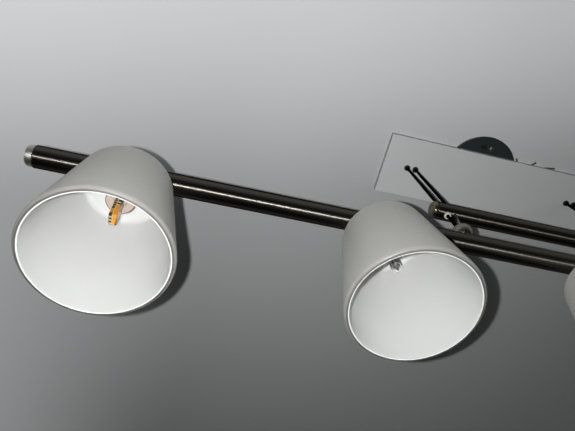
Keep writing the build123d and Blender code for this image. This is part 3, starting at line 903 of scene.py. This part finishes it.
@dataclass
class LampSocket:
    """The ceramic lampholder with its browned edge, and the ribbed ring that clamps the bell. Millimetres."""

    palette: Palette
    back: float = 14.0
    length: float = 17.8
    radius: float = 11.5
    body_inset: float = 0.05
    waist_inset: float = 0.7
    waist_length: float = 5.2
    mouth_radius: float = 5.1
    mouth_depth: float = 2.5
    band: float = 0.9
    band_lift: float = 0.02
    band_rise: float = 0.04
    ring_back: float = 7.1
    ring_height: float = 4.0
    ring_radius: float = 17.0
    ring_bore: float = 10.48
    rib_count: int = 30
    rib_section: Pair = (1.0, 1.3)
    rib_inset: float = 0.5
    rib_edge: float = 0.3

    def body(self) -> Turning:
        """Give the ceramic body with its round mouth for the lamp's foot.

        Returns:
            Its turned profile.
        """
        front = self.back + self.length
        sizes = {
            "Axis": 0.0, "Mouth Radius": self.mouth_radius, "Waist Radius": self.radius - self.waist_inset,
            "Radius": self.radius - self.body_inset, "Back": self.back, "Waist": self.back + self.waist_length,
            "Front": front, "Mouth Floor": front - self.mouth_depth, "Sharp": 0.0, "Edge": 0.6
        }
        corners = [
            ("Axis", "Back", "Sharp"), ("Waist Radius", "Back", "Edge"), ("Waist Radius", "Waist", "Edge"),
            ("Radius", "Waist", "Edge"), ("Radius", "Front", "Edge"), ("Mouth Radius", "Front", "Edge"),
            ("Mouth Radius", "Mouth Floor", "Edge"), ("Axis", "Mouth Floor", "Sharp")
        ]
        return Turning("lampholder", sizes, corners, steps=72, bends=5)

    def edge(self) -> Turning:
        """Give the browned band round the body's front edge.

        Returns:
            Its turned profile.
        """
        front = self.back + self.length
        radii = (self.radius - self.band, self.radius + self.band_lift)
        levels = (front - self.band, front + self.band_rise)
        return Turning.ring("lampholder_edge", radii, levels, edge=0.3, steps=72, bends=4)

    def ring(self) -> Turning:
        """Give the clamping ring without its ribs.

        Returns:
            Its turned profile.
        """
        radii = (self.ring_bore, self.ring_radius - self.rib_inset)
        levels = (self.ring_back, self.ring_back + self.ring_height)
        return Turning.ring("retaining_ring", radii, levels, edge=0.5, steps=72, bends=4)

    def build(self, heads: range) -> None:
        """Make each head's lampholder and ring.

        Args:
            heads: The heads' numbers.
        """
        body = self.body().build(self.palette.ceramic)
        edge = self.edge().build(self.palette.browned)
        ring = self.ring().build(self.palette.resin)
        level = self.ring_back + self.ring_height / 2
        size = (*self.rib_section, self.ring_height - self.rib_inset)
        rib = rounded_box("rib", size, (0.0, 0.0, level), self.rib_edge, self.palette.resin, Matrix())
        around = Row("grip_ribs", self.rib_count, radius=self.ring_radius - self.rib_inset)
        ribs = around.build(rib, self.palette.resin)
        for number in heads:
            head, place = f"head_{number}", HeadFrame.of_head(number).matrix()
            piece = body.grow(f"lamp_socket_{number}", place)
            settle(piece, head, Slot.LAMP_CERAMIC, f"lampholder_{number}")
            settle(edge.grow(f"socket_edge_{number}", place), head, Slot.LAMP_CERAMIC)
            piece = ring.grow(f"clamp_ring_{number}", place)
            settle(piece, head, Slot.WHITE_NYLON, f"retaining_ring_{number}")
            settle(ribs.grow(f"clamp_ribs_{number}", place), head, Slot.WHITE_NYLON)
        bpy.data.objects.remove(rib)


@dataclass
class CapsuleLamp:
    """A clear lamp capsule with a drawn tip, its pinched foot, coiled filament and wires. Millimetres."""

    palette: Palette
    seat: float = 31.8
    radius: float = 5.0
    wall: float = 0.8
    foot: float = 34.0
    top: float = 56.9
    tip: float = 59.0
    pinch: Triple = (2.9, 8.8, 8.6)
    pinch_depth: float = 5.4
    pinch_edge: float = 0.7
    lead_radius: float = 0.28
    lead_spread: float = 2.4
    lead_depth: float = 7.0
    coil_radius: float = 0.9
    coil_turns: float = 14.0
    coil: Pair = (40.5, 50.5)

    def glass(self) -> Turning:
        """Give the hollow capsule.

        Returns:
            Its turned profile.
        """
        sizes = {
            "Axis": 0.0, "Nib Radius": 0.6, "Neck Radius": 1.3, "Radius": self.radius,
            "Inner Radius": self.radius - self.wall, "Tip": self.tip, "Top": self.top,
            "Inner Top": self.top - self.wall, "Foot": self.foot, "Inner Foot": self.foot + 2.2, "Sharp": 0.0,
            "Nib Edge": 0.5, "Neck Edge": 0.9, "Dome": 3.9, "Inner Dome": 3.4, "Shoulder": 2.2
        }
        corners = [
            ("Axis", "Foot", "Sharp"), ("Radius", "Foot", "Shoulder"), ("Radius", "Top", "Dome"),
            ("Neck Radius", "Top", "Neck Edge"), ("Nib Radius", "Tip", "Nib Edge"), ("Axis", "Tip", "Sharp"),
            ("Axis", "Inner Top", "Sharp"), ("Inner Radius", "Inner Top", "Inner Dome"),
            ("Inner Radius", "Inner Foot", "Shoulder"), ("Axis", "Inner Foot", "Sharp")
        ]
        return Turning("capsule_glass", sizes, corners, steps=48, bends=8)

    def filament(self) -> Grown:
        """Give the coiled wire along the capsule's middle.

        Returns:
            The coil's tree with its values.
        """
        kinds = {
            "Turns": "NodeSocketFloat", "Coil Radius": "NodeSocketFloat", "Height": "NodeSocketFloat",
            "Wire Radius": "NodeSocketFloat", "Finish": "NodeSocketMaterial"
        }
        tree, given, out = new_tree("filament", kinds)
        size = given.outputs
        width = {"Start Radius": size["Coil Radius"], "End Radius": size["Coil Radius"]}
        length = {"Resolution": 14, "Rotations": size["Turns"], "Height": size["Height"]}
        spiral = add_node(tree, "GeometryNodeCurveSpiral", {**length, **width})
        circle = add_node(tree, "GeometryNodeCurvePrimitiveCircle", {"Resolution": 6, "Radius": size["Wire Radius"]})
        tube = add_node(
            tree, "GeometryNodeCurveToMesh",
            {"Curve": spiral.outputs["Curve"], "Profile Curve": circle.outputs["Curve"], "Fill Caps": True}
        )
        smooth = add_node(tree, "GeometryNodeSetShadeSmooth", {"Geometry": tube.outputs["Mesh"]})
        finish_tree(tree, smooth.outputs["Geometry"], size["Finish"], out)
        values = {
            "Turns": self.coil_turns, "Coil Radius": self.coil_radius * MM,
            "Height": (self.coil[1] - self.coil[0]) * MM, "Wire Radius": 0.16 * MM, "Finish": self.palette.tungsten
        }
        return Grown(tree, values)

    def build(self, heads: Sequence[int]) -> None:
        """Make the capsules.

        Args:
            heads: The heads that hold one.
        """
        glass = self.glass().build(self.palette.clear_glass)
        filament = self.filament()
        low, high = self.coil
        side, deep = self.lead_spread, self.seat - self.lead_depth
        # One wire ends at the coil's foot, the other passes it and ends at its top.
        wires = [
            [(0, -side, deep), (0, -side, low - 3), (0, -0.9, low), (0, -0.4, low + 0.4)],
            [(0, side, deep), (0, side, high), (0, 1.2, high + 1.2), (0, 0.4, high)]
        ]
        middle = (0.0, 0.0, self.seat - self.pinch_depth + self.pinch[2] / 2)
        for number in heads:
            head, place = f"head_{number}", HeadFrame.of_head(number).matrix()
            bulb = glass.grow(f"capsule_glass_{number}", place)
            bulb.visible_shadow = False
            settle(bulb, head, Slot.CLEAR_GLASS, f"lamp_{number}")
            seal = rounded_box(
                f"capsule_pinch_{number}", self.pinch, middle, self.pinch_edge, self.palette.clear_glass, place
            )
            seal.visible_shadow = False
            settle(seal, head, Slot.CLEAR_GLASS)
            lift = place @ Matrix.Translation((0, 0, low * MM))
            settle(filament.grow(f"capsule_filament_{number}", lift), head, Slot.CLEAR_GLASS)
            for count, points in enumerate(wires, start=1):
                lead = wire(f"capsule_wire_{number}_{count}", points, self.lead_radius, self.palette.tungsten, place)
                settle(lead, head, Slot.CLEAR_GLASS)


@dataclass
class StickLamp:
    """The flat stick lamp, cast in clear silicone: a board, amber on one side and small parts on the other.

    Sizes in millimetres.
    """

    palette: Palette
    seat: float = 31.8
    reach: float = 28.7
    width: float = 10.2
    thickness: float = 6.4
    edge: float = 1.6
    board_width: float = 8.6
    board_thickness: float = 0.7
    board_shift: float = -0.3
    board_tail: float = 4.0
    board_inset: float = 0.8
    board_edge: float = 0.25
    gel_steps: tuple[Triple, ...] = ((1.0, 5.0, 3.15), (-1.8, 1.3, 2.5), (-4.6, -1.5, 1.7))
    gel_start: float = 46.5
    gel_end: float = 60.35
    gel_sink: float = 0.05
    gel_edge: float = 0.5
    left_stand: float = 0.9
    right_stand: float = 1.0
    part_edge: float = 0.2
    pin_radius: float = 0.55
    pin_spread: float = 3.4
    pin_loop: float = 1.2
    pin_rise: float = 1.0
    pin_depth: float = 5.0
    pin_bend: float = 6.4

    def build(self, number: int) -> None:
        """Make the stick for one head.

        Args:
            number: The head that holds it.
        """
        head, place = f"head_{number}", HeadFrame.of_head(number).matrix()
        tip = self.seat + self.reach
        cast = rounded_box(
            "stick_silicone", (self.thickness, self.width, self.reach), (0.0, 0.0, self.seat + self.reach / 2),
            self.edge, self.palette.silicone, place
        )
        cast.visible_shadow = False
        settle(cast, head, Slot.STICK_SILICONE, f"lamp_{number}")
        length = tip - self.seat + self.board_tail
        board_painted_light = rounded_box(
            "stick_board", (self.board_thickness, self.board_width, length),
            (self.board_shift, 0.0, tip - self.board_inset - length / 2), self.board_edge, self.palette.board_painted_light, place
        )
        settle(board_painted_light, head, Slot.STICK_SILICONE)
        inner = self.face(1) - self.gel_sink
        for step, (low, high, outer) in enumerate(self.gel_steps, start=1):
            gel = rounded_box(
                f"stick_phosphor_{step}", (outer - inner, high - low, self.gel_end - self.gel_start),
                ((outer + inner) / 2, (low + high) / 2, (self.gel_start + self.gel_end) / 2), self.gel_edge,
                self.palette.phosphor, place
            )
            settle(gel, head, Slot.STICK_SILICONE)
        self.parts(head, place)
        top, low, bend = self.seat + self.pin_rise, self.seat - self.pin_depth, self.seat - self.pin_bend
        for side, word in ((-1, "left"), (1, "right")):
            there, middle, back = (side * (self.pin_spread - self.pin_loop * part) for part in (0.0, 0.5, 1.0))
            pin = [(0.0, there, top), (0.0, there, low), (0.0, middle, bend), (0.0, back, low), (0.0, back, top)]
            piece = wire(f"stick_pin_{word}", pin, self.pin_radius, self.palette.zinc, place)
            settle(piece, head, Slot.STICK_SILICONE)

    def face(self, side: int) -> float:
        """Give where one face of the board lies, across the stick."""
        return self.board_shift + side * self.board_thickness / 2

    def parts(self, head: str, place: Matrix) -> None:
        """Set rows of small parts on the board's faces.

        Args:
            head: The body that they ride on.
            place: The head's axes.
        """
        left, right = self.face(-1) - self.left_stand, self.face(1) + self.right_stand
        look = self.palette
        # A part's name and size, the first one's middle, the step to the next, how many there are and their finish.
        rows = [
            ("bridge", (2.0, 2.4, 2.5), (right, 3.3, 35.0), (0.0, 0.0, 4.2), 3, look.epoxy),
            ("resistor", (1.8, 2.2, 1.2), (right, 3.4, 37.1), (0.0, 0.0, 4.2), 3, look.resin),
            ("lug", (0.9, 1.8, 2.6), (right + 1.4, 3.2, 38.4), (0.0, 0.0, 4.6), 2, look.brass),
            ("coil", (1.8, 3.2, 3.0), (right, -2.4, 36.6), (0.0, 0.0, 5.2), 2, look.epoxy),
            ("driver", (1.7, 1.8, 1.6), (left, 3.4, 35.6), (0.0, 0.0, 3.4), 5, look.epoxy),
            ("pad", (1.5, 1.7, 1.3), (left, 3.4, 37.3), (0.0, 0.0, 3.4), 4, look.brass),
            # This row's patch of amber gel on the parts' side is painted light: the amber glow showing through from the
            # other face.
            ("backlight", (1.8, 3.0, 5.6), (left, 2.9, 53.8), (0.0, 0.0, 0.0), 1, look.phosphor),
            ("capacitor", (1.8, 1.3, 2.2), (left, 3.5, 58.7), (0.0, -2.8, 0.0), 3, look.epoxy),
            ("diode", (1.8, 1.3, 2.2), (left, 2.1, 58.7), (0.0, -2.8, 0.0), 3, look.board_painted_light)
        ]
        for kind, size, first, step, count, finish in rows:
            part = rounded_box(kind, size, first, self.part_edge, finish, Matrix())
            piece = Row(f"stick_{kind}_row", count, step=step).build(part, finish)
            settle(piece.grow(f"stick_{kind}s", place), head, Slot.STICK_SILICONE)
            bpy.data.objects.remove(part)


@dataclass
class TerminalBlock:
    """The nylon block inside the tray: three cells with brass clamp screws. Millimetres."""

    palette: Palette
    middle: Pair = (44.0, -16.5)
    floor: float = -9.8
    length: float = 30.0
    width: float = 15.0
    height: float = 6.0
    lanes: int = 3
    base_share: float = 0.62
    tower_share: Pair = (0.72, 0.4)
    tower_spread: float = 3.9

    def build(self) -> None:
        """Make the cells and their screws as rows of copies."""
        pitch = self.length / self.lanes
        x, y = self.middle
        first = x - self.length / 2 + pitch / 2
        level = self.floor + self.height / 2
        base = self.height * self.base_share
        tower = (pitch * self.tower_share[0], self.width * self.tower_share[1], self.height)
        # A part's name and size, the first one's middle and the radius of its edges.
        cells = [
            ("block_base", (pitch, self.width, base), (first, y, level - (self.height - base) / 2), 0.5),
            ("block_tower_back", tower, (first, y + self.tower_spread, level), 0.9),
            ("block_tower_front", tower, (first, y - self.tower_spread, level), 0.9)
        ]
        for kind, size, place, edge in cells:
            part = rounded_box("cell", size, place, edge, self.palette.nylon, Matrix())
            row = Row(kind, self.lanes, step=(pitch, 0.0, 0.0)).build(part, self.palette.nylon)
            nodes = ("terminal_block",) if kind == "block_base" else ()
            settle(row.grow(kind, Matrix()), "frame", Slot.WHITE_NYLON, *nodes)
            bpy.data.objects.remove(part)
        top = self.floor + self.height
        sizes = {
            "Axis": 0.0, "Radius": 1.9, "Low": -1.2, "High": 0.05, "Dish": 1.1, "Deep": -0.5, "Sharp": 0.0,
            "Edge": 0.25
        }
        corners = [
            ("Axis", "Low", "Sharp"), ("Radius", "Low", "Edge"), ("Radius", "High", "Edge"), ("Dish", "High", "Edge"),
            ("Dish", "Deep", "Edge"), ("Axis", "Deep", "Sharp")
        ]
        screw = Turning("clamp_screw", sizes, corners, steps=24, bends=3).build(self.palette.brass)
        for side, word in ((-1, "front"), (1, "back")):
            spot = Vector((first, y + side * self.tower_spread, top)) * MM
            part = screw.grow("screw", Matrix.Translation(spot))
            row = Row(f"clamp_screws_{word}", self.lanes, step=(pitch, 0.0, 0.0)).build(part, self.palette.brass)
            settle(row.grow(f"block_screws_{word}", Matrix()), "frame", Slot.ZINC_STEEL)
            bpy.data.objects.remove(part)


@dataclass
class CeilingMount:
    """The disc with its earth screw, the tray plate and what is inside it. Millimetres."""

    palette: Palette
    earth_screw: Triple = (-20.6, -51.0, -3.0)
    head_radius: float = 3.6
    head_height: float = 2.6
    head_dome: float = 2.5

    def build(self) -> None:
        """Turn the earth screw's domed head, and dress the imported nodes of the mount."""
        sizes = {
            "Axis": 0.0, "Radius": self.head_radius, "Seat": 0.0, "Crown": self.head_height, "Sharp": 0.0,
            "Dome": self.head_dome
        }
        corners = [
            ("Axis", "Seat", "Sharp"), ("Radius", "Seat", "Sharp"), ("Radius", "Crown", "Dome"),
            ("Axis", "Crown", "Sharp")
        ]
        head = Turning("earth_screw_head", sizes, corners, steps=48).build(self.palette.zinc)
        seat = Matrix.Translation(Vector(self.earth_screw) * MM) @ Matrix.Rotation(math.pi, 4, "X")
        settle(head.grow("earth_screw_head", seat), "frame", Slot.ZINC_STEEL, "earth_screw")
        dress_node("mounting_disc", self.palette.grey_enamel)
        dress_node("ceiling_plate", self.palette.white_enamel)
        for name in ("strap_screws", "strap", "strap_nuts"):
            dress_node(name, self.palette.zinc)
        TerminalBlock(self.palette).build()
        dress_node("supply_leads", self.palette.insulation)
        dress_node("grommets", self.palette.rubber)


@dataclass
class Bars:
    """The two bars with their caps, and the rods and couplings that hang them. Sizes in millimetres."""

    palette: Palette
    tube_radius: float = 10.0
    tube_end: float = 533.6
    lower_level: float = -237.5
    plug_radius: float = 9.3
    seal_width: float = 0.7
    seal_inset: float = 0.08

    def build(self) -> None:
        """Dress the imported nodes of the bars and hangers."""
        for name in ("upper_tube", "lower_tube"):
            dress_node(name, self.palette.nickel_painted_dark)
        for side in ("left", "right"):
            dress_node(f"upper_cap_{side}", self.palette.bright_nickel)
            dress_node(f"lower_cap_{side}", self.palette.plug_nickel)
            dress_node(f"ball_coupling_{side}", self.palette.ball_nickel_painted_dark)
        dress_node("ferrules", self.palette.nylon)
        for name in ("outer_rods", "inner_rods", "rod_collars"):
            dress_node(name, self.palette.rod_painted_dark)
        dress_node("link_wires", self.palette.clear_sleeve)
        dress_node("bar_nuts", self.palette.zinc)
        dress_node("bar_wires", self.palette.insulation)
        self.seal_plugs()

    def seal_plugs(self) -> None:
        """Lay a thin dark seal round each end plug of the lower bar, against the tube's end."""
        radii = (self.plug_radius, self.tube_radius - self.seal_inset)
        profile = Turning.ring("plug_seal", radii, (0.0, self.seal_width), edge=0.12, steps=64, bends=3)
        seal = profile.build(self.palette.rubber)
        for side, word in ((-1, "left"), (1, "right")):
            end = Matrix.Translation((side * self.tube_end * MM, 0.0, self.lower_level * MM))
            piece = seal.grow(f"plug_seal_{word}", end @ Matrix.Rotation(side * math.pi / 2, 4, "Y"))
            settle(piece, "frame", Slot.BLACK_RUBBER)


@dataclass
class Heads:
    """The five heads on the lower bar."""

    palette: Palette
    numbers: range = range(1, 6)
    stick_head: int = 1

    def build(self) -> None:
        """Dress the heads' metalwork and make their bells, lampholders and lamps."""
        for number in self.numbers:
            dress_node(f"collar_{number}", self.palette.satin_nickel)
            dress_node(f"holder_{number}", self.palette.satin_nickel)
            dress_node(f"swivel_pin_{number}", self.palette.zinc)
        GlassBell(self.palette).build(self.numbers)
        LampSocket(self.palette).build(self.numbers)
        held: dict[LampKind, list[int]] = {kind: [] for kind in LampKind}
        for number in self.numbers:
            held[LampKind.STICK if number == self.stick_head else LampKind.CAPSULE].append(number)
        CapsuleLamp(self.palette).build(held[LampKind.CAPSULE])
        for number in held[LampKind.STICK]:
            StickLamp(self.palette).build(number)


@dataclass(frozen=True)
class Glow:
    """Daylight on a part of the ceiling: which way it grows, from where to where in metres, and how strong it gets."""

    towards: Triple
    start: float
    full: float
    strength: float


@dataclass(frozen=True)
class Plaster(Finish):
    """Painted ceiling plaster, rolled: matt, with daylight on parts of it for the view, and clear from above."""

    glows: tuple[Glow, ...] = ()
    mottle_mm: float = 260.0
    mottle_shade: Pair = (0.97, 1.03)

    def dress(self, tree: NodeTree, shader: Node) -> None:
        """Mottle the paint, let the view see the daylight on it, and open its upper side.

        Args:
            tree: The material's nodes.
            shader: Its Principled shader.
        """
        place = add_node(tree, "ShaderNodeTexCoord").outputs["Object"]
        mottle = add_node(tree, "ShaderNodeTexNoise", {"Vector": place, "Scale": per_mm(self.mottle_mm), "Detail": 2.0})
        dark, pale = self.mottle_shade
        uneven = add_node(tree, "ShaderNodeMapRange", {"Value": mottle.outputs["Fac"], "To Min": dark, "To Max": pale})
        colour = add_node(
            tree, "ShaderNodeVectorMath", {0: linear(self.colour)[:3], 1: uneven.outputs["Result"]},
            operation="MULTIPLY"
        ).outputs["Vector"]
        tree.links.new(colour, shader.inputs["Base Color"])
        tree.links.new(colour, shader.inputs["Emission Color"])
        lit = None
        for glow in self.glows:
            along = add_node(tree, "ShaderNodeVectorMath", {0: place, 1: glow.towards}, operation="DOT_PRODUCT")
            span = {"From Min": glow.start, "From Max": glow.full, "To Max": glow.strength}
            part = add_node(
                tree, "ShaderNodeMapRange", {"Value": along.outputs["Value"], **span}, interpolation_type="SMOOTHSTEP"
            ).outputs["Result"]
            lit = part if lit is None else add_node(tree, "ShaderNodeMath", {0: lit, 1: part}).outputs[0]
        if lit is not None:
            seen = add_node(tree, "ShaderNodeMath", {0: lit, 1: seen_rays(tree)}, operation="MULTIPLY").outputs[0]
            tree.links.new(seen, shader.inputs["Emission Strength"])
        side = add_node(tree, "ShaderNodeNewGeometry").outputs["Backfacing"]
        clear = add_node(tree, "ShaderNodeBsdfTransparent").outputs["BSDF"]
        either = add_node(tree, "ShaderNodeMixShader", {0: side, 1: shader.outputs["BSDF"], 2: clear})
        tree.links.new(either.outputs["Shader"], tree.nodes["Material Output"].inputs["Surface"])


@dataclass
class Studio:
    """The pale ceiling, the lamps, the world and the camera. Sizes in metres."""

    half_width: float = 4.0
    ceiling_level: float = 0.0004
    box_middle: Pair = (-0.0246, -0.0144)
    box_radius: float = 0.046
    box_steps: int = 48
    camera_place: Vector = Vector((-0.3719, -0.1633, -0.6255))
    camera_right: Vector = Vector((0.97127, -0.23387, -0.0441))
    camera_forward: Vector = Vector((0.13742, 0.39981, 0.90624))
    camera_near: float = 0.01
    lens: float = 29.174
    sensor: float = 36.0
    key_left: float = 0.0165
    key_rise: float = 0.0012
    key_size: float = 0.005
    key_power: float = 1.95
    lit_point: Vector = Vector((0.0, 0.0, -0.2))
    horizon: Pair = (-0.6, 0.1)

    def build(self) -> None:
        """Set the stage."""
        self.hang_ceiling()
        self.place_camera()
        self.light()
        self.surround()
        bpy.context.scene.view_settings.view_transform = "Standard"

    def hang_ceiling(self) -> None:
        """Make the ceiling that the fixture hangs from; it lets the lamps' light pass."""
        half = self.half_width
        around = [(-half, -half), (-half, half), (half, half), (half, -half)]
        daylight = (
            Glow((-0.2, -0.98, 0.0), -0.057, 0.31, 0.47), Glow((-1.0, 0.0, 0.0), 0.36, 0.83, 0.33),
            Glow((1.0, 0.0, 0.0), 0.5, 1.3, 0.4), Glow((0.0, 1.0, 0.0), 0.66, 1.4, 0.4)
        )
        # Rolled ceiling paint: pale, matt and a little uneven.
        paint = Plaster("painted_ceiling_plaster", "#d1d2d3", 0.85, glows=daylight)
        self.panel("ceiling", around, self.ceiling_level, paint)
        x, y = self.box_middle
        turns = [math.tau * step / self.box_steps for step in range(self.box_steps)]
        ring = [(x + self.box_radius * math.sin(t), y + self.box_radius * math.cos(t)) for t in turns]
        # A flat disc painted nearly black: painted shade for the dark hollow of the ceiling box.
        inside = Plaster("ceiling_box_painted_shade", "#1c1d1c", 0.9)
        self.panel("ceiling_box", ring, self.ceiling_level / 2, inside)

    def panel(self, name: str, around: Sequence[Pair], level: float, finish: Finish) -> None:
        """Hang a flat panel that faces down and lets light pass from above.

        Args:
            name: Its name.
            around: Its corners in metres, so ordered that it faces down.
            level: Its height in metres.
            finish: Its finish.
        """
        mesh = bpy.data.meshes.new(name)
        drawn = bmesh.new()
        drawn.faces.new([drawn.verts.new((x, y, level)) for x, y in around])
        drawn.to_mesh(mesh)
        drawn.free()
        mesh.materials.append(finish.material())
        hung = new_piece(name, mesh)
        hung.visible_shadow = False
        hung.visible_diffuse = False

    def place_camera(self) -> None:
        """Put the camera where the photograph was taken from."""
        data = bpy.data.cameras.new("camera")
        data.lens = self.lens
        data.sensor_width = self.sensor
        data.clip_start = self.camera_near
        camera = new_piece("camera", data)
        back = -self.camera_forward.normalized()
        up = back.cross(self.camera_right).normalized()
        right = up.cross(back)
        turn = Matrix((right, up, back)).transposed().to_4x4()
        camera.matrix_world = Matrix.Translation(self.camera_place) @ turn
        bpy.context.scene.camera = camera

    def lamp(self, name: str, place: Vector, target: Vector, size: float, power: float) -> Object:
        """Add a round lamp.

        Args:
            name: The lamp's name.
            place: Where it stands.
            target: What it faces.
            size: Its diameter in metres.
            power: Its power in watts.

        Returns:
            The lamp.
        """
        data = bpy.data.lights.new(name, "AREA")
        data.shape = "DISK"
        data.size = size
        data.energy = power
        lamp = new_piece(name, data)
        lamp.location = place
        lamp.rotation_mode = "QUATERNION"
        lamp.rotation_quaternion = (target - place).to_track_quat("-Z", "Y")
        return lamp

    def light(self) -> None:
        """Light the fixture from beside the camera, and softly from above and all round."""
        down = self.camera_forward.cross(self.camera_right)
        beside = self.camera_place - self.camera_right * self.key_left - down * self.key_rise
        self.lamp("key", beside, beside + self.camera_forward, self.key_size, self.key_power)
        # The tray's rim lies against the ceiling, where no light from above reaches it.
        spared = bpy.data.collections.new("out_of_side_light")
        spared.objects.link(frame["nodes"]["ceiling_plate"])
        spared.collection_objects[0].light_linking.link_state = "EXCLUDE"
        for name, place, size, power in (
            ("top", Vector((0.0, 0.0, 2.6)), 2.0, 14.0), ("left", Vector((-2.5, -3.0, 1.3)), 1.6, 58.0),
            ("right", Vector((1.1, -0.7, 0.35)), 0.4, 5.0), ("back_left", Vector((-1.5, 2.6, 1.1)), 1.2, 42.0),
            ("back_right", Vector((1.5, 2.6, 1.1)), 1.2, 42.0), ("fill", Vector((0.9, -0.7, -1.1)), 0.8, 1.2)
        ):
            lamp = self.lamp(name, place, self.lit_point, size, power)
            lamp.visible_glossy = False
            if name not in ("top", "fill"):
                lamp.light_linking.receiver_collection = spared

    def surround(self) -> None:
        """Give the world a dim light on the object, and a paler room to the rays that show it."""
        world = bpy.data.worlds.new("studio")
        bpy.context.scene.world = world
        world.use_nodes = True
        tree = world.node_tree
        view = add_node(tree, "ShaderNodeTexCoord").outputs["Generated"]
        height = add_node(tree, "ShaderNodeSeparateXYZ", {"Vector": view}).outputs["Z"]
        rays = add_node(tree, "ShaderNodeLightPath").outputs
        floor, sky = self.horizon
        rise = add_node(
            tree, "ShaderNodeMapRange", {"Value": height, "From Min": floor, "From Max": sky},
            interpolation_type="SMOOTHSTEP"
        ).outputs["Result"]
        shade = linear("#1e1f1f")
        for ray, low, high in (
            ("Is Glossy Ray", "#0b0b0b", "#6f7172"), ("Is Transmission Ray", "#a9abac", "#d4d6d7"),
            ("Is Camera Ray", "#a9abac", "#d4d6d7")
        ):
            tones = {FACTOR: rise, COLOUR_A: linear(low), COLOUR_B: linear(high)}
            seen = add_node(tree, "ShaderNodeMix", tones, data_type="RGBA").outputs[MIXED]
            both = {FACTOR: rays[ray], COLOUR_A: shade, COLOUR_B: seen}
            shade = add_node(tree, "ShaderNodeMix", both, data_type="RGBA").outputs[MIXED]
        tree.links.new(shade, tree.nodes["Background"].inputs["Color"])


def main() -> None:
    """Build the fixture's pieces in order, then the studio."""
    logging.basicConfig(level=logging.INFO, format="%(name)s: %(message)s")
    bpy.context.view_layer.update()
    palette = Palette()
    CeilingMount(palette).build()
    Bars(palette).build()
    Heads(palette).build()
    Studio().build()
    bpy.context.view_layer.update()


if __name__ == "__main__":
    main()
